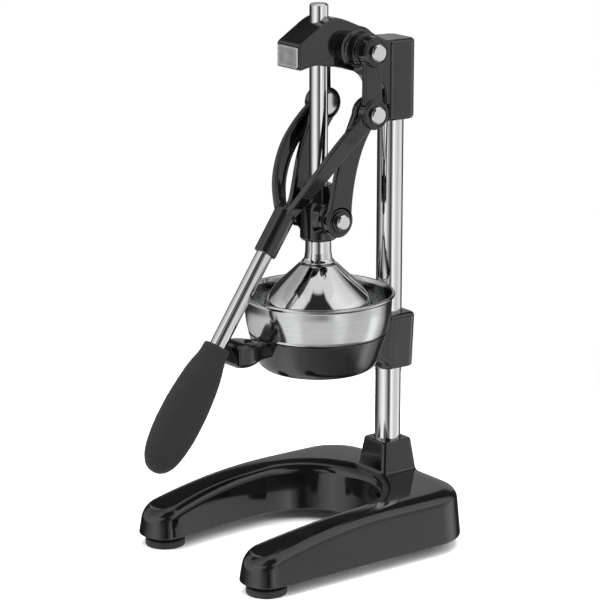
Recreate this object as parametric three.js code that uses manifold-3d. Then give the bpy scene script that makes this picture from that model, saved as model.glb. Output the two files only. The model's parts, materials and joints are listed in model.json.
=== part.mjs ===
// Lever citrus juice press: a cast base with two legs, a chromed column, a cup holder with its bowl
// and strainer, and a head that guides the plunger rod. The lever fork turns on the head and pulls
// the crosshead down through a pair of links. Millimetres, +Z up, the front of the press faces -Y.
// While it is modelled the column stands on the origin; at the end the whole press is moved so that
// the middle of its footprint is the origin.

import * as THREE from 'three';
import { mergeVertices } from 'three/addons/utils/BufferGeometryUtils.js';
import Module from 'manifold-3d';

const wasm = await Module();
wasm.setup();

// Clearances
const gap = 0.3;
const overrun = 4;
const slack = 1;

// Layout: the bowl's rim just clears the column, and the plunger stands over the bowl's middle.
// Heights are stacked: each is named as a rise above the piece below it.
const columnRadius = 10;
const columnFoot = 17;
const bowlRimRadius = 58.3;
const reach = columnRadius + bowlRimRadius + gap;

// Round pieces: segments round a big, a middle and a small turned piece
const bigSteps = 36;
const midSteps = 24;
const smallSteps = 12;
const hexagonSteps = 6;
const filletSteps = 3;

// Base casting
const baseHalfWidth = 86.3;
const baseUnderside = 9.5;
const baseDepth = 37;
const baseTop = baseUnderside + baseDepth;
const baseRear = 23;
const baseCornerRadius = 38;
const legTipRadius = 20.5;
const archRadius = 52.5;
const archForward = 10.9;
const archSetback = reach + archForward;
const legLength = 86.5;
const legTipSetback = archSetback + legLength;
const legCrestDrop = 12.5;
const legCrestLead = 19.5;
const legCrestStart = archSetback - legCrestLead;
const baseDraft = 3.5;
const baseFillet = 8.5;
const baseCrown = 0.8;
const baseWall = 6;
const recessFillet = 3;
const bossTopHalf = 14;
const bossFootHalf = 17;
const bossRise = 25;
const bossTop = baseTop + bossRise;
const bossCorner = 4;
const bossBevel = 1.6;
const columnPadRadius = 17;
const footPadRadius = 10.5;

// Feet and their screws
const footRadius = 15.2;
const footDisc = 5.6;
const footNeckRadius = 12.6;
const footBevel = 0.9;
const rearFootSpread = 43;
const rearFootSetback = 2;
const screwRadius = 2.6;
const screwHeadRadius = 4.8;
const screwHead = 2.6;
const screwSink = 1.8;
const screwSocket = 1;
const screwSocketRadius = 1.6;
const screwBevel = 0.9;
const screwLength = 13;

// Bolt and washer that pull the column into the base
const columnBoltRadius = 4;
const columnBoltHead = 5.5;
const columnBoltAcross = 7.4;
const columnBoltLength = 34;
const washerRadius = 9.5;
const washerThickness = 1.8;

// Cup holder: ring for the bowl, collar on the column, lug at the front
const holderTop = 169.5;
const holderDepth = 29.3;
const holderBottom = holderTop - holderDepth;
const bowlLipWidth = 2.2;
const bowlMouthRadius = bowlRimRadius - bowlLipWidth;
const bowlFlare = 3.1;
const holderRimRadius = bowlMouthRadius - bowlFlare;
const holderTaper = 7.6;
const holderBottomRadius = holderRimRadius - holderTaper;
const holderWall = 3.2;
const holderOutlet = 17;
const collarHalf = 17.4;
const collarTaper = 2.7;
const collarRear = 15.1;
const collarFront = 14;
const collarCorner = 7;
const collarDrop = 9.8;
const collarBottom = holderBottom - collarDrop;
const collarBevel = 1.4;
const collarRise = 4.4;
const collarTop = holderTop + collarRise;
const collarCrown = 2.8;
const collarCrownInset = 3.4;
const webDrop = 3.2;
const webInset = 37.6;
const webBottom = holderBottom - webDrop;
const webFront = reach - webInset;
const lugLength = 36.6;
const lugHalf = 13;
const lugWaistHalf = 8.6;
const lugDepth = 19;
const lugWaistDepth = 12.8;
const lugSink = 6.2;
const lugMiddle = holderTop - lugSink;
const grubRadius = 2.5;
const grubLength = 5;
const grubSocket = 1.2;
const holderGrubRise = 20;
const holderGrubHeight = collarBottom + holderGrubRise;

// Juice bowl
const bowlRise = 30.1;
const bowlTop = holderTop + bowlRise;
const bowlLipDepth = 3.4;
const bowlWall = 1;
const spoutRadius = 12.5;
const spoutDrop = 1.8;
const spoutEnd = holderBottom - spoutDrop;
const funnelRise = 2.6;

// Strainer plate and reamer cone
const strainerInset = 2;
const strainerRadius = holderRimRadius - strainerInset;
const strainerThickness = 1.4;
const strainerSlots = 24;
const slotInset = 17;
const slotInner = strainerRadius - slotInset;
const slotLength = 11;
const slotWidth = 2;
const reamerMargin = 4;
const reamerRadius = slotInner - reamerMargin;
const reamerHeight = 31;
const reamerRibs = 10;
const reamerRibShare = 0.075;

// Press bell, its neck and the nut inside it
const bellDip = 14.6;
const bellDepth = 37.4;
const bellMouth = bowlTop - bellDip;
const bellTop = bellMouth + bellDepth;
const bellMargin = 14.8;
const bellRadius = bowlMouthRadius - bellMargin;
const bellShoulderRadius = 12.6;
const bellWall = 1.6;
const neckTopRadius = 9.7;
const neckFootRadius = 12.4;
const neckSpigotRadius = 6;
const neckSpigot = 9;
const bellNutAcross = 8;
const bellNut = 5;

// Plunger rod, crosshead and links
const rodRadius = 7;
const rodEndRise = 4.8;
const rodEnd = bellTop + rodEndRise;
const rodChamfer = 1.3;
const crossheadRadius = 13.8;
const neckLength = 17.7;
const crossheadLength = 42.4;
const crossheadBottom = bellTop + neckLength;
const crossheadTop = crossheadBottom + crossheadLength;
const crossPivotRise = 17.9;
const crossPivotHeight = crossheadBottom + crossPivotRise;
const crossheadBevel = 1.6;
const crossBossRadius = 11;
const crossBossStep = 9.6;
const crossBossStepLength = 3.4;
const crossGrubSink = 7;
const crossGrubHeight = crossheadTop - crossGrubSink;
const linkRise = 78.9;
const linkInner = 21.5;
const linkThickness = 5.4;
const linkUpperRadius = 12.3;
const linkLowerRadius = 12.3;
const linkHalfWidth = 9.2;
const linkBow = 5.2;
const linkBevel = 1.5;
const linkPocket = 1.6;
const linkPocketRim = 2.6;
const pinRadius = 4;
const pinHeadRadius = 6.5;
const linkBoltHeadRadius = 5.8;
const pinHead = 3.4;
const pinHeadBevel = 0.9;
const innerHeadRadius = 8.5;
const innerHead = 1.6;
const innerHeadProud = 0.6;
const lowerBoltDepth = 12;
const linkWasher = 1.1;
const linkWasherRadius = 7.8;

// Lever fork, which turns on the head and carries the elbows
const linkLean = 25.75;
const pivotSetback = reach - linkLean;
const elbowHeight = crossPivotHeight + linkRise;
const crankLength = 46.5;
const pivotHeight = elbowHeight + crankLength;
const forkInner = 28.4;
const forkThickness = 9.2;
const forkEyeRadius = 11.3;
const forkWebThickness = 5.6;
const forkWebHalf = 8;
const forkBevel = 1.1;
const forkRecessRadius = 8.6;
const forkRecess = 0.8;
const armThickness = 5;
const armWidth = 13.8;
const armSetback = 0.8;
const armEndWidth = 9.4;
const armChamfer = 1.1;
const armPocket = 1.5;
const armPocketRim = 2.4;
const leverAngle = 34.2;
const socketForward = 56.45;
const socketDrop = 72.9;
const socketRadius = 8.6;
const socketLength = 34.5;
const socketRoot = 5;
const socketBevel = 0.9;
const leverRodRadius = 6.2;
const leverRodSeat = 8;
const leverRodLength = 186;
const gripOverlap = 83;
const gripLength = 104.5;
const gripRadius = 17;

// Head casting
const headHalf = 14.2;
const noseOverhang = 28.1;
const headNose = reach + noseOverhang;
const undersideDrop = 11.4;
const headUnderside = pivotHeight - undersideDrop;
const headRise = 36;
const headBevel = 1.6;
const sleeveHalf = 15.6;
const sleeveRear = 13.4;
const sleeveFront = 15;
const sleeveCorner = 7;
const sleeveRise = 14.5;
const sleeveLength = 61.5;
const sleeveTop = headUnderside + sleeveRise;
const sleeveBottom = sleeveTop - sleeveLength;
const columnRise = 6;
const columnTop = headUnderside + columnRise;
const sleeveBevel = 2;
const pivotBossRadius = 12.4;
const pivotFlareRadius = 16.4;
const pivotFlare = 4.6;
const pivotStepRadius = 11.2;
const pivotStep = 3;
const spacerThickness = 1.3;
const spacerRadius = 10.2;
const pivotBoltDepth = 13;
const bushWall = 1.8;
const bushLength = 24;
const bushRise = 27;
const bushTop = headUnderside + bushRise;
const rodRise = 46;
const rodTop = headUnderside + rodRise;
const headGrubRise = 15;
const headGrubHeight = sleeveBottom + headGrubRise;
const badgeHalfWidth = 12;
const badgeHalfHeight = 7.7;
const badgeThickness = 0.8;
const badgeCorner = 1.4;

// Finishes
const finish = (color, roughness, metalness) => (
  new THREE.MeshStandardMaterial({ color, roughness, metalness })
);
const blackPaint = finish(0x17171a, 0.2, 0);
const chrome = finish(0xdadcde, 0.08, 1);
const brushedSteel = finish(0xb4b6b8, 0.34, 1);
const polishedSteel = finish(0xc9cbcd, 0.14, 1);
const darkRubber = finish(0x191919, 0.85, 0);
const softGrip = finish(0x2b2b2d, 0.9, 0);
const satinPlate = finish(0xc6c6c4, 0.4, 1);
const zincSteel = finish(0x9b9da0, 0.4, 1);
const palePlastic = finish(0xd8d6cf, 0.6, 0);

const point = (x, y, z) => new THREE.Vector3(x, y, z);
const flat = (x, y) => new THREE.Vector2(x, y);
const turn = THREE.MathUtils.degToRad;
const quarter = Math.PI / 2;
const circle = 4 * quarter;

// Makes one closed surface of a geometry: shared corners are joined, faces that have shrunk to a line
// are left out, and the faces are turned outwards.
function closed(geometry) {
  const loose = geometry.clone();
  for (const name of Object.keys(loose.attributes)) {
    if (name !== 'position') loose.deleteAttribute(name);
  }
  const merged = mergeVertices(loose);
  const place = merged.attributes.position;
  const corner = (k) => point(place.getX(k), place.getY(k), place.getZ(k));
  const faces = [];
  let volume = 0;
  for (let k = 0; k < merged.index.count; k += 3) {
    const face = [0, 1, 2].map((n) => merged.index.getX(k + n));
    if (new Set(face).size < face.length) continue;
    const [a, b, c] = face.map(corner);
    volume += a.dot(b.cross(c));
    faces.push(face);
  }
  if (volume < 0) faces.forEach((face) => face.reverse());
  merged.setIndex(faces.flat());
  return merged;
}

// A closed surface as a solid that can be joined and cut, and the way back
function solid(geometry) {
  const skin = closed(geometry);
  return new wasm.Manifold(new wasm.Mesh({
    numProp: 3,
    vertProperties: new Float32Array(skin.attributes.position.array),
    triVerts: new Uint32Array(skin.index.array),
  }));
}

function surface(body) {
  const mesh = body.getMesh();
  const geometry = new THREE.BufferGeometry();
  geometry.setAttribute('position', new THREE.BufferAttribute(mesh.vertProperties, 3));
  geometry.setIndex(new THREE.BufferAttribute(mesh.triVerts, 1));
  return closed(geometry);
}

const joined = (first, ...rest) => rest.reduce((sum, next) => sum.add(next), first);
const cutBy = (first, ...rest) => rest.reduce((sum, next) => sum.subtract(next), first);

// A turned piece about the Z axis from pairs of radius and height, starting and ending alike
function turned(profile, steps) {
  const points = profile.map(([radius, height]) => flat(radius, height));
  return new THREE.LatheGeometry(points, steps).rotateX(quarter);
}

// A turned ring: the profile closes on itself
const ring = (profile, steps) => turned([...profile, profile[0]], steps);

// A plain round bar along Z between two heights, and a plain tube
function bar(radius, from, to, steps) {
  return turned([[0, from], [radius, from], [radius, to], [0, to]], steps);
}

function tube(inner, outer, from, to) {
  return ring([[inner, from], [outer, from], [outer, to], [inner, to]], midSteps);
}

// Lays a piece that was turned about Z along the X axis, pointing to the given side
const alongX = (geometry, side) => geometry.rotateY(side * quarter);

// A flat outline drawn in the Y-Z plane, made thick along X between two places
function sideCut(shape, from, to, bevel, bevelSegments = 1) {
  const geometry = new THREE.ExtrudeGeometry(shape, {
    depth: to - from - 2 * bevel,
    bevelEnabled: bevel > 0,
    bevelSize: bevel,
    bevelThickness: bevel,
    bevelOffset: -bevel,
    bevelSegments,
    curveSegments: 9,
  });
  const placed = new THREE.Matrix4().makeBasis(point(0, 1, 0), point(0, 0, 1), point(1, 0, 0));
  placed.setPosition(from + bevel, 0, 0);
  return geometry.applyMatrix4(placed);
}

// A rectangle with round corners, as a ring of points round the middle
function roundedRing(halfX, halfY, corner) {
  const points = [];
  for (const [sideX, sideY, start] of [[1, 1, 0], [-1, 1, 1], [-1, -1, 2], [1, -1, 3]]) {
    for (let k = 0; k <= filletSteps; k += 1) {
      const angle = quarter * (start + k / filletSteps);
      points.push(flat(
        sideX * (halfX - corner) + corner * Math.cos(angle),
        sideY * (halfY - corner) + corner * Math.sin(angle),
      ));
    }
  }
  return points;
}

// Joins a row of equal rings of points with faces and closes both ends. capOutline gives the ring's
// flat outline, from which the end faces are made.
function loft(rings, capOutline) {
  const count = rings[0].length;
  const index = [];
  for (let k = 0; k + 1 < rings.length; k += 1) {
    for (let n = 0; n < count; n += 1) {
      const next = (n + 1) % count;
      const [a, b, c, d] = [k * count + n, k * count + next, (k + 1) * count + next, (k + 1) * count + n];
      index.push(a, b, c, a, c, d);
    }
  }
  const last = (rings.length - 1) * count;
  for (const [a, b, c] of THREE.ShapeUtils.triangulateShape(capOutline, [])) {
    index.push(a, c, b, last + a, last + b, last + c);
  }
  const geometry = new THREE.BufferGeometry().setFromPoints(rings.flat());
  geometry.setIndex(index);
  return geometry;
}

// Stacks outlines at given heights
function stacked(levels, outline) {
  const rings = levels.map(([height, points]) => points.map((p) => point(p.x, p.y, height)));
  return loft(rings, outline);
}

function piece(name, geometry, material) {
  const mesh = new THREE.Mesh(closed(geometry), material);
  mesh.name = name;
  return mesh;
}

const sides = [['left', -1], ['right', 1]];

// Base. Its plan is a U: stations run from the tip of one leg round the back to the other. Each has a
// point on the outer edge, one on the inner edge, and the direction into the metal at both.
const legSpread = baseHalfWidth - legTipRadius;
const mouthHalf = legSpread - legTipRadius;
const crest = (y) => {
  const share = Math.max(0, (-legCrestStart - y) / (legTipSetback - legCrestStart));
  return baseTop - legCrestDrop * share * share;
};

function outerEdge(share) {
  const straight = archSetback + baseRear - baseCornerRadius;
  const arc = quarter * baseCornerRadius;
  const back = baseHalfWidth - baseCornerRadius;
  const travel = share * (straight + arc + back);
  if (travel <= straight) {
    return [flat(baseHalfWidth, travel - archSetback), flat(-1, 0)];
  }
  if (travel <= straight + arc) {
    const angle = (travel - straight) / baseCornerRadius;
    const way = flat(Math.cos(angle), Math.sin(angle));
    const middle = flat(back, baseRear - baseCornerRadius);
    return [middle.addScaledVector(way, baseCornerRadius), way.negate()];
  }
  return [flat(back - (travel - straight - arc), baseRear), flat(0, -1)];
}

const tipAngles = [-78, -55, -30].map(turn);
const legSteps = 5;
const bridgeSteps = 9;

function halfStations() {
  const list = [];
  for (const angle of tipAngles) {
    const outward = flat(Math.cos(angle), Math.sin(angle));
    const inward = flat(-outward.x, outward.y);
    const tip = flat(legSpread, -legTipSetback);
    list.push([
      tip.clone().addScaledVector(outward, legTipRadius), outward.clone().negate(),
      tip.clone().addScaledVector(inward, legTipRadius), inward.clone().negate(),
    ]);
  }
  for (let k = 0; k < legSteps; k += 1) {
    const share = k / legSteps;
    const y = -legTipSetback + share * (legTipSetback - archSetback);
    const bulge = (archRadius - mouthHalf) * (1 - (1 - share) ** 2);
    list.push([flat(baseHalfWidth, y), flat(-1, 0), flat(mouthHalf + bulge, y), flat(1, 0)]);
  }
  for (let k = 0; k <= bridgeSteps; k += 1) {
    const angle = (quarter * k) / bridgeSteps;
    const way = flat(Math.cos(angle), Math.sin(angle));
    const inner = flat(0, -archSetback).addScaledVector(way, archRadius);
    list.push([...outerEdge(k / bridgeSteps), inner, way]);
  }
  return list;
}

// One casting shape: inset from the real outline, with its own fillet, underside and drop from the top
function baseSolid(inset, fillet, underside, drop) {
  const half = halfStations();
  const other = half.slice(0, -1).reverse().map((s) => s.map((v) => flat(-v.x, v.y)));
  const rings = [...half, ...other].map(([outer, outerIn, inner, innerIn]) => {
    const edge = (from, inward) => {
      const at = (offset, height) => {
        const p = from.clone().addScaledVector(inward, inset + offset);
        return point(p.x, p.y, height === null ? underside : crest(p.y) - drop - height);
      };
      const points = [at(0, null)];
      for (let k = 0; k <= filletSteps; k += 1) {
        const angle = (quarter * k) / filletSteps;
        points.push(at(baseDraft + fillet * (1 - Math.cos(angle)), fillet * (1 - Math.sin(angle))));
      }
      return points;
    };
    const right = edge(outer, outerIn);
    const left = edge(inner, innerIn);
    const middle = right.at(-1).clone().add(left.at(-1)).divideScalar(2);
    middle.z = crest(middle.y) - drop + baseCrown;
    return [...right, middle, ...left.reverse()];
  });
  // The end faces are made from an outline that is upright on both sides of the crest
  const last = rings[0].length - 1;
  const cap = rings[0].map((p, k) => flat(Math.sign(last - 2 * k), p.z));
  return solid(loft(rings, cap));
}

const feetPlaces = [
  [legSpread, -legTipSetback], [-legSpread, -legTipSetback],
  [rearFootSpread, -rearFootSetback], [-rearFootSpread, -rearFootSetback],
];

function makeBase() {
  const outside = baseSolid(0, baseFillet, baseUnderside, 0);
  const recess = baseSolid(baseWall, recessFillet, baseUnderside - overrun, baseWall);
  const post = (radius, x, y, steps) => (
    solid(bar(radius, baseUnderside, bossTop, steps).translate(x, y, 0)).intersect(outside)
  );
  const bossRing = (half) => roundedRing(half, half, bossCorner);
  const boss = solid(stacked([
    [baseTop - baseFillet, bossRing(bossFootHalf)],
    [bossTop - bossBevel, bossRing(bossTopHalf)],
    [bossTop, bossRing(bossTopHalf - bossBevel)],
  ], bossRing(bossTopHalf)));
  const pads = feetPlaces.map(([x, y]) => post(footPadRadius, x, y, smallSteps));
  const holes = feetPlaces.map(([x, y]) => solid(
    bar(screwRadius + gap, baseUnderside - overrun, screwTop + slack, smallSteps).translate(x, y, 0),
  ));
  const body = joined(cutBy(outside, recess), post(columnPadRadius, 0, 0, midSteps), boss, ...pads);
  return surface(cutBy(
    body,
    solid(bar(columnRadius + gap, columnFoot - gap, bossTop + overrun, midSteps)),
    solid(bar(columnBoltRadius + gap, baseUnderside - overrun, columnFoot + overrun, smallSteps)),
    ...holes,
  ));
}

// Feet: a rubber disc with a waist, held by a screw whose head is sunk in it
const screwSeat = screwSink + screwHead;
const screwTop = screwSeat + screwLength;
const footTop = baseUnderside - gap;

function makeFoot() {
  return ring([
    [screwHeadRadius + gap, 0],
    [footRadius - footBevel, 0],
    [footRadius, footBevel],
    [footRadius, footDisc - footBevel],
    [footRadius - footBevel, footDisc],
    [footNeckRadius, footDisc + footBevel],
    [footNeckRadius, footTop],
    [screwRadius + gap, footTop],
    [screwRadius + gap, screwSeat + gap],
    [screwHeadRadius + gap, screwSeat + gap],
  ], midSteps);
}

function makeFootScrew() {
  return turned([
    [0, screwSink + screwSocket],
    [screwSocketRadius, screwSink + screwSocket],
    [screwSocketRadius, screwSink],
    [screwHeadRadius - screwBevel, screwSink],
    [screwHeadRadius, screwSink + screwBevel],
    [screwHeadRadius, screwSeat],
    [screwRadius, screwSeat],
    [screwRadius, screwTop],
    [0, screwTop],
  ], smallSteps);
}

// Column with a threaded hole in its foot for the bolt
const boltSeat = baseUnderside - washerThickness - gap;
const boltEnd = boltSeat + columnBoltLength;

function makeColumn() {
  return turned([
    [0, boltEnd + slack],
    [columnBoltRadius + gap, boltEnd + slack],
    [columnBoltRadius + gap, columnFoot],
    [columnRadius - slack, columnFoot],
    [columnRadius, columnFoot + slack],
    [columnRadius, columnTop - slack],
    [columnRadius - slack, columnTop],
    [0, columnTop],
  ], midSteps);
}

function makeColumnBolt() {
  const shank = bar(columnBoltRadius, boltSeat - gap - slack, boltEnd, smallSteps);
  const head = bar(columnBoltAcross, boltSeat - gap - columnBoltHead, boltSeat - gap, hexagonSteps);
  return surface(joined(solid(shank), solid(head)));
}

function makeColumnWasher() {
  return tube(columnBoltRadius + gap, washerRadius, boltSeat, boltSeat + washerThickness);
}

// Grub screw with a socket in its outer end, drawn along Z with the outer end up
function makeGrub() {
  return turned([
    [0, 0],
    [grubRadius - slack / 2, 0],
    [grubRadius, slack / 2],
    [grubRadius, grubLength],
    [grubSocket, grubLength],
    [grubSocket, grubLength / 2],
    [0, grubLength / 2],
  ], smallSteps);
}

// Places a grub screw, or its hole, on the back of a round piece, pointing to +Y
const rearward = (geometry, from, height, axis) => (
  geometry.rotateX(-quarter).translate(0, axis + from, height)
);
const grubHole = (from, height, axis) => solid(rearward(
  bar(grubRadius + gap, -slack, grubLength + columnRadius, smallSteps), from, height, axis,
));

// Cup holder. The wall is drawn as shares of its height, from the rim down, against the radii of the
// rim and of the bottom.
const wallShares = [[0, 1], [0.27, 0.7], [0.53, 0.38], [0.78, 0.05], [0.92, -0.2]];
const holderWallAt = ([down, share], inset) => [
  holderBottomRadius + (holderRimRadius - holderBottomRadius) * share - inset,
  holderTop - down * (holderTop - holderBottom),
];
const holderFloor = holderBottom + holderWall + slack;

function holderHollow(inset) {
  const wall = wallShares.slice(0, 4).map((s) => holderWallAt(s, inset));
  const corner = holderWallAt(wallShares[3], inset)[0];
  return [...wall, [corner - holderWall, holderFloor + inset - holderWall]];
}

function makeCupHolder() {
  const outer = wallShares.map((s) => holderWallAt(s, 0));
  const shell = [
    [0, holderTop],
    ...outer,
    [holderBottomRadius - 2 * holderWall, holderBottom],
    [0, holderBottom],
  ];
  const collarRing = (halfX, inset) => roundedRing(
    halfX - inset, (collarRear + collarFront) / 2 - inset, collarCorner - inset,
  ).map((p) => flat(p.x, p.y + (collarRear - collarFront) / 2));
  const collar = stacked([
    [collarBottom, collarRing(collarHalf - collarTaper, collarBevel)],
    [collarBottom + collarBevel, collarRing(collarHalf - collarTaper, 0)],
    [collarTop - collarCrown, collarRing(collarHalf, 0)],
    [collarTop - collarCrown / 3, collarRing(collarHalf, collarCrownInset / 3)],
    [collarTop, collarRing(collarHalf, collarCrownInset)],
  ], collarRing(collarHalf, 0));
  const web = new THREE.Shape([
    flat(-webFront, webBottom),
    flat(-(webFront + collarFront) / 2, webBottom - (webBottom - collarBottom) / 4),
    flat(-collarFront, collarBottom + 2 * collarBevel),
    flat(0, collarBottom + 2 * collarBevel),
    flat(0, holderTop - collarBevel),
    flat(-webFront, holderTop - collarBevel),
  ]);
  const webHalf = collarHalf - collarTaper;
  const hollow = [
    [0, holderTop + overrun],
    [holderHollow(holderWall)[0][0], holderTop + overrun],
    ...holderHollow(holderWall),
    [holderOutlet, holderFloor],
    [holderOutlet, holderBottom - overrun],
    [0, holderBottom - overrun],
  ];
  const bowlAxis = (geometry) => solid(geometry.translate(0, -reach, 0));
  const body = joined(
    bowlAxis(turned(shell, bigSteps)),
    solid(collar),
    solid(sideCut(web, -webHalf, webHalf, collarBevel)),
    solid(makeLug()),
  );
  return surface(cutBy(
    body,
    bowlAxis(turned(hollow, bigSteps)),
    solid(bar(columnRadius + gap, collarBottom - overrun, collarTop + overrun, midSteps)),
    grubHole(columnRadius, holderGrubHeight, 0),
  ));
}

// The lug at the front of the holder narrows to a waist and swells to a rounded thumb rest. It is drawn
// as shares of its length and of what it gains on the waist in width and in depth.
const lugShares = [
  [-0.1, 0, 0], [0.2, 0, 0], [0.4, 0.2, 0.35], [0.6, 0.7, 0.75], [0.85, 1, 1], [1, 0.6, 0.35],
];

function makeLug() {
  const root = reach + holderBottomRadius;
  const outline = (wide, deep) => {
    const halfX = lugWaistHalf + wide * (lugHalf - lugWaistHalf);
    const depth = lugWaistDepth + deep * (lugDepth - lugWaistDepth);
    return roundedRing(halfX, depth / 2, lugWaistDepth / 3);
  };
  const rings = lugShares.map(([along, wide, deep]) => outline(wide, deep).map((p) => (
    point(p.x, -(root + along * lugLength), lugMiddle + p.y)
  )));
  return loft(rings, outline(0, 0));
}

// Juice bowl: a spun shell with a rolled rim. It hangs by its shoulder on the holder's rim, and its
// lower half is a funnel that ends in a spout.
const bowlShoulder = holderTop + gap;
const bowlShares = [[0, 0], [0.33, 0.56], [0.68, 0.9], [1, 1]];
const bowlWallTop = bowlTop - bowlLipDepth;
const bowlWallAt = ([up, share], inset) => [
  holderRimRadius + (bowlMouthRadius - holderRimRadius) * share - inset,
  bowlShoulder + up * (bowlWallTop - bowlShoulder),
];
const bowlNest = holderWall + gap;
const bowlFloor = holderFloor + gap;
const ledgeHeight = bowlShoulder + bowlWall;

function makeBowl() {
  const nest = holderHollow(bowlNest).map(([r, z]) => [r, z + bowlNest - holderWall]);
  const outside = [
    [spoutRadius, spoutEnd],
    [spoutRadius, bowlFloor - funnelRise / 2],
    [spoutRadius + funnelRise, bowlFloor],
    ...nest.slice(1).reverse(),
    [nest[0][0], bowlShoulder],
    ...bowlShares.map((s) => bowlWallAt(s, 0)),
    [bowlRimRadius - bowlWall / 2, bowlWallTop + bowlWall],
    [bowlRimRadius, bowlTop - bowlWall],
    [bowlRimRadius - bowlWall / 2, bowlTop],
    [bowlMouthRadius + bowlWall / 2, bowlTop],
  ];
  const inside = [
    ...bowlShares.slice(1).reverse().map((s) => bowlWallAt(s, bowlWall)),
    [holderRimRadius - bowlWall, ledgeHeight],
    [nest[0][0] - bowlWall, ledgeHeight - bowlWall],
    ...nest.slice(1).map(([r, z]) => [r - bowlWall, z + bowlWall / 2]),
    [spoutRadius + funnelRise - bowlWall, bowlFloor + bowlWall],
    [spoutRadius - bowlWall, bowlFloor],
    [spoutRadius - bowlWall, spoutEnd],
  ];
  return ring([...outside, ...inside], bigSteps).translate(0, -reach, 0);
}

// Strainer: a slotted plate on the bowl's ledge
const strainerBottom = ledgeHeight + gap;
const strainerTop = strainerBottom + strainerThickness;

function makeStrainer() {
  const plate = solid(ring([
    [slotWidth, strainerBottom],
    [strainerRadius, strainerBottom],
    [strainerRadius, strainerTop],
    [slotWidth, strainerTop],
  ], bigSteps));
  const slots = [];
  for (let k = 0; k < strainerSlots; k += 1) {
    const slot = new THREE.BoxGeometry(slotLength, slotWidth, overrun);
    slot.translate(slotInner + slotLength / 2, 0, (strainerBottom + strainerTop) / 2);
    slots.push(solid(slot.rotateZ(((k + 0.5) * circle) / strainerSlots)));
  }
  return surface(cutBy(plate, ...slots)).translate(0, -reach, 0);
}

// Reamer: a cone with rounded ribs, whose peg drops through the strainer plate. The cone is drawn as
// shares of its height, its radius and the depth of its ribs, and its plain core reaches the tip.
const reamerShares = [
  [0, 1, 0.2], [0.05, 1, 0.2], [0.3, 0.9, 1], [0.55, 0.7, 1], [0.76, 0.46, 1], [0.92, 0.2, 1],
];
const reamerCoreShares = [[0, 0.167], [0.94, 0.167], [0.99, 0.1], [1, 0]];
const ribSteps = 4;

function makeReamer() {
  const foot = strainerTop + gap;
  const around = reamerRibs * ribSteps;
  const rings = reamerShares.map(([up, wide, deep]) => {
    const points = [];
    for (let k = 0; k < around; k += 1) {
      const angle = (k * circle) / around;
      const valley = reamerRibShare * (1 - Math.cos(reamerRibs * angle)) * deep;
      const radius = reamerRadius * wide * (1 - valley);
      points.push(point(radius * Math.cos(angle), radius * Math.sin(angle), foot + up * reamerHeight));
    }
    return points;
  });
  const cap = rings[0].map((p) => flat(p.x, p.y));
  const cone = loft(rings, cap);
  const peg = bar(slotWidth - gap, strainerBottom - slack, foot + slack, smallSteps);
  const core = turned([
    [0, foot],
    ...reamerCoreShares.map(([up, wide]) => [reamerRadius * wide, foot + reamerHeight * up]),
  ], smallSteps);
  return surface(joined(solid(cone), solid(peg), solid(core))).translate(0, -reach, 0);
}

// Press bell: a spun cone with a flat top that rounds into an upright rim, drawn as shares of its radius
// and height. Its inside is the same line moved in by the wall, and also down above the share of the
// height where the cone starts.
const bellConeShare = 0.25;
const bellLowerShare = 0.6;
const bellShares = [
  [0, 0.995], [0.056, 0.976], [0.118, 0.933], [0.303, 0.797], [0.505, 0.647], [0.658, 0.527],
  [0.791, 0.412], [0.885, 0.318], [0.944, 0.238], [0.983, 0.142], [1, 0.04], [1, 0],
];

function makeBell() {
  const at = ([wide, up], inset, lower) => [
    bellShoulderRadius + wide * (bellRadius - bellShoulderRadius) - inset,
    bellMouth + up * (bellTop - bellMouth) - lower,
  ];
  const bore = neckSpigotRadius + gap;
  const outside = bellShares.map((s) => at(s, 0, 0));
  const lower = bellWall * bellLowerShare;
  const inside = bellShares.slice(0, -1).map((s) => at(s, bellWall, s[1] < bellConeShare ? 0 : lower));
  return ring([
    [bore, bellTop],
    ...outside,
    [bellRadius - bellWall, bellMouth],
    ...inside.reverse(),
    [bore, bellTop - bellWall],
  ], bigSteps).translate(0, -reach, 0);
}

// Neck between crosshead and bell; its spigot goes through the bell into the nut
const neckTop = crossheadBottom - gap;
const neckFoot = bellTop + gap;
const spigotEnd = neckFoot - neckSpigot;

function makeNeck() {
  return turned([
    [0, spigotEnd],
    [neckSpigotRadius, spigotEnd],
    [neckSpigotRadius, neckFoot],
    [neckFootRadius, neckFoot],
    [(neckFootRadius + 3 * neckTopRadius) / 4, (3 * neckFoot + neckTop) / 4],
    [neckTopRadius, neckTop],
    [rodRadius + gap, neckTop],
    [rodRadius + gap, rodEnd - gap],
    [0, rodEnd - gap],
  ], midSteps).translate(0, -reach, 0);
}

function makeBellNut() {
  const top = bellTop - bellWall - gap;
  const bore = neckSpigotRadius + gap;
  const body = solid(bar(bellNutAcross + gap, top - bellNut, top, hexagonSteps));
  return surface(cutBy(body, solid(bar(bore, top - bellNut - overrun, top + overrun, midSteps))))
    .translate(0, -reach, 0);
}

function makePlungerRod() {
  return turned([
    [0, rodEnd],
    [rodRadius, rodEnd],
    [rodRadius, rodTop - rodChamfer],
    [rodRadius - rodChamfer / 3, rodTop - rodChamfer / 3],
    [rodRadius - rodChamfer, rodTop],
    [0, rodTop],
  ], midSteps).translate(0, -reach, 0);
}

// Crosshead: a sleeve on the rod with a stepped boss on each side for the links
const bossReach = linkInner - gap;

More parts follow.
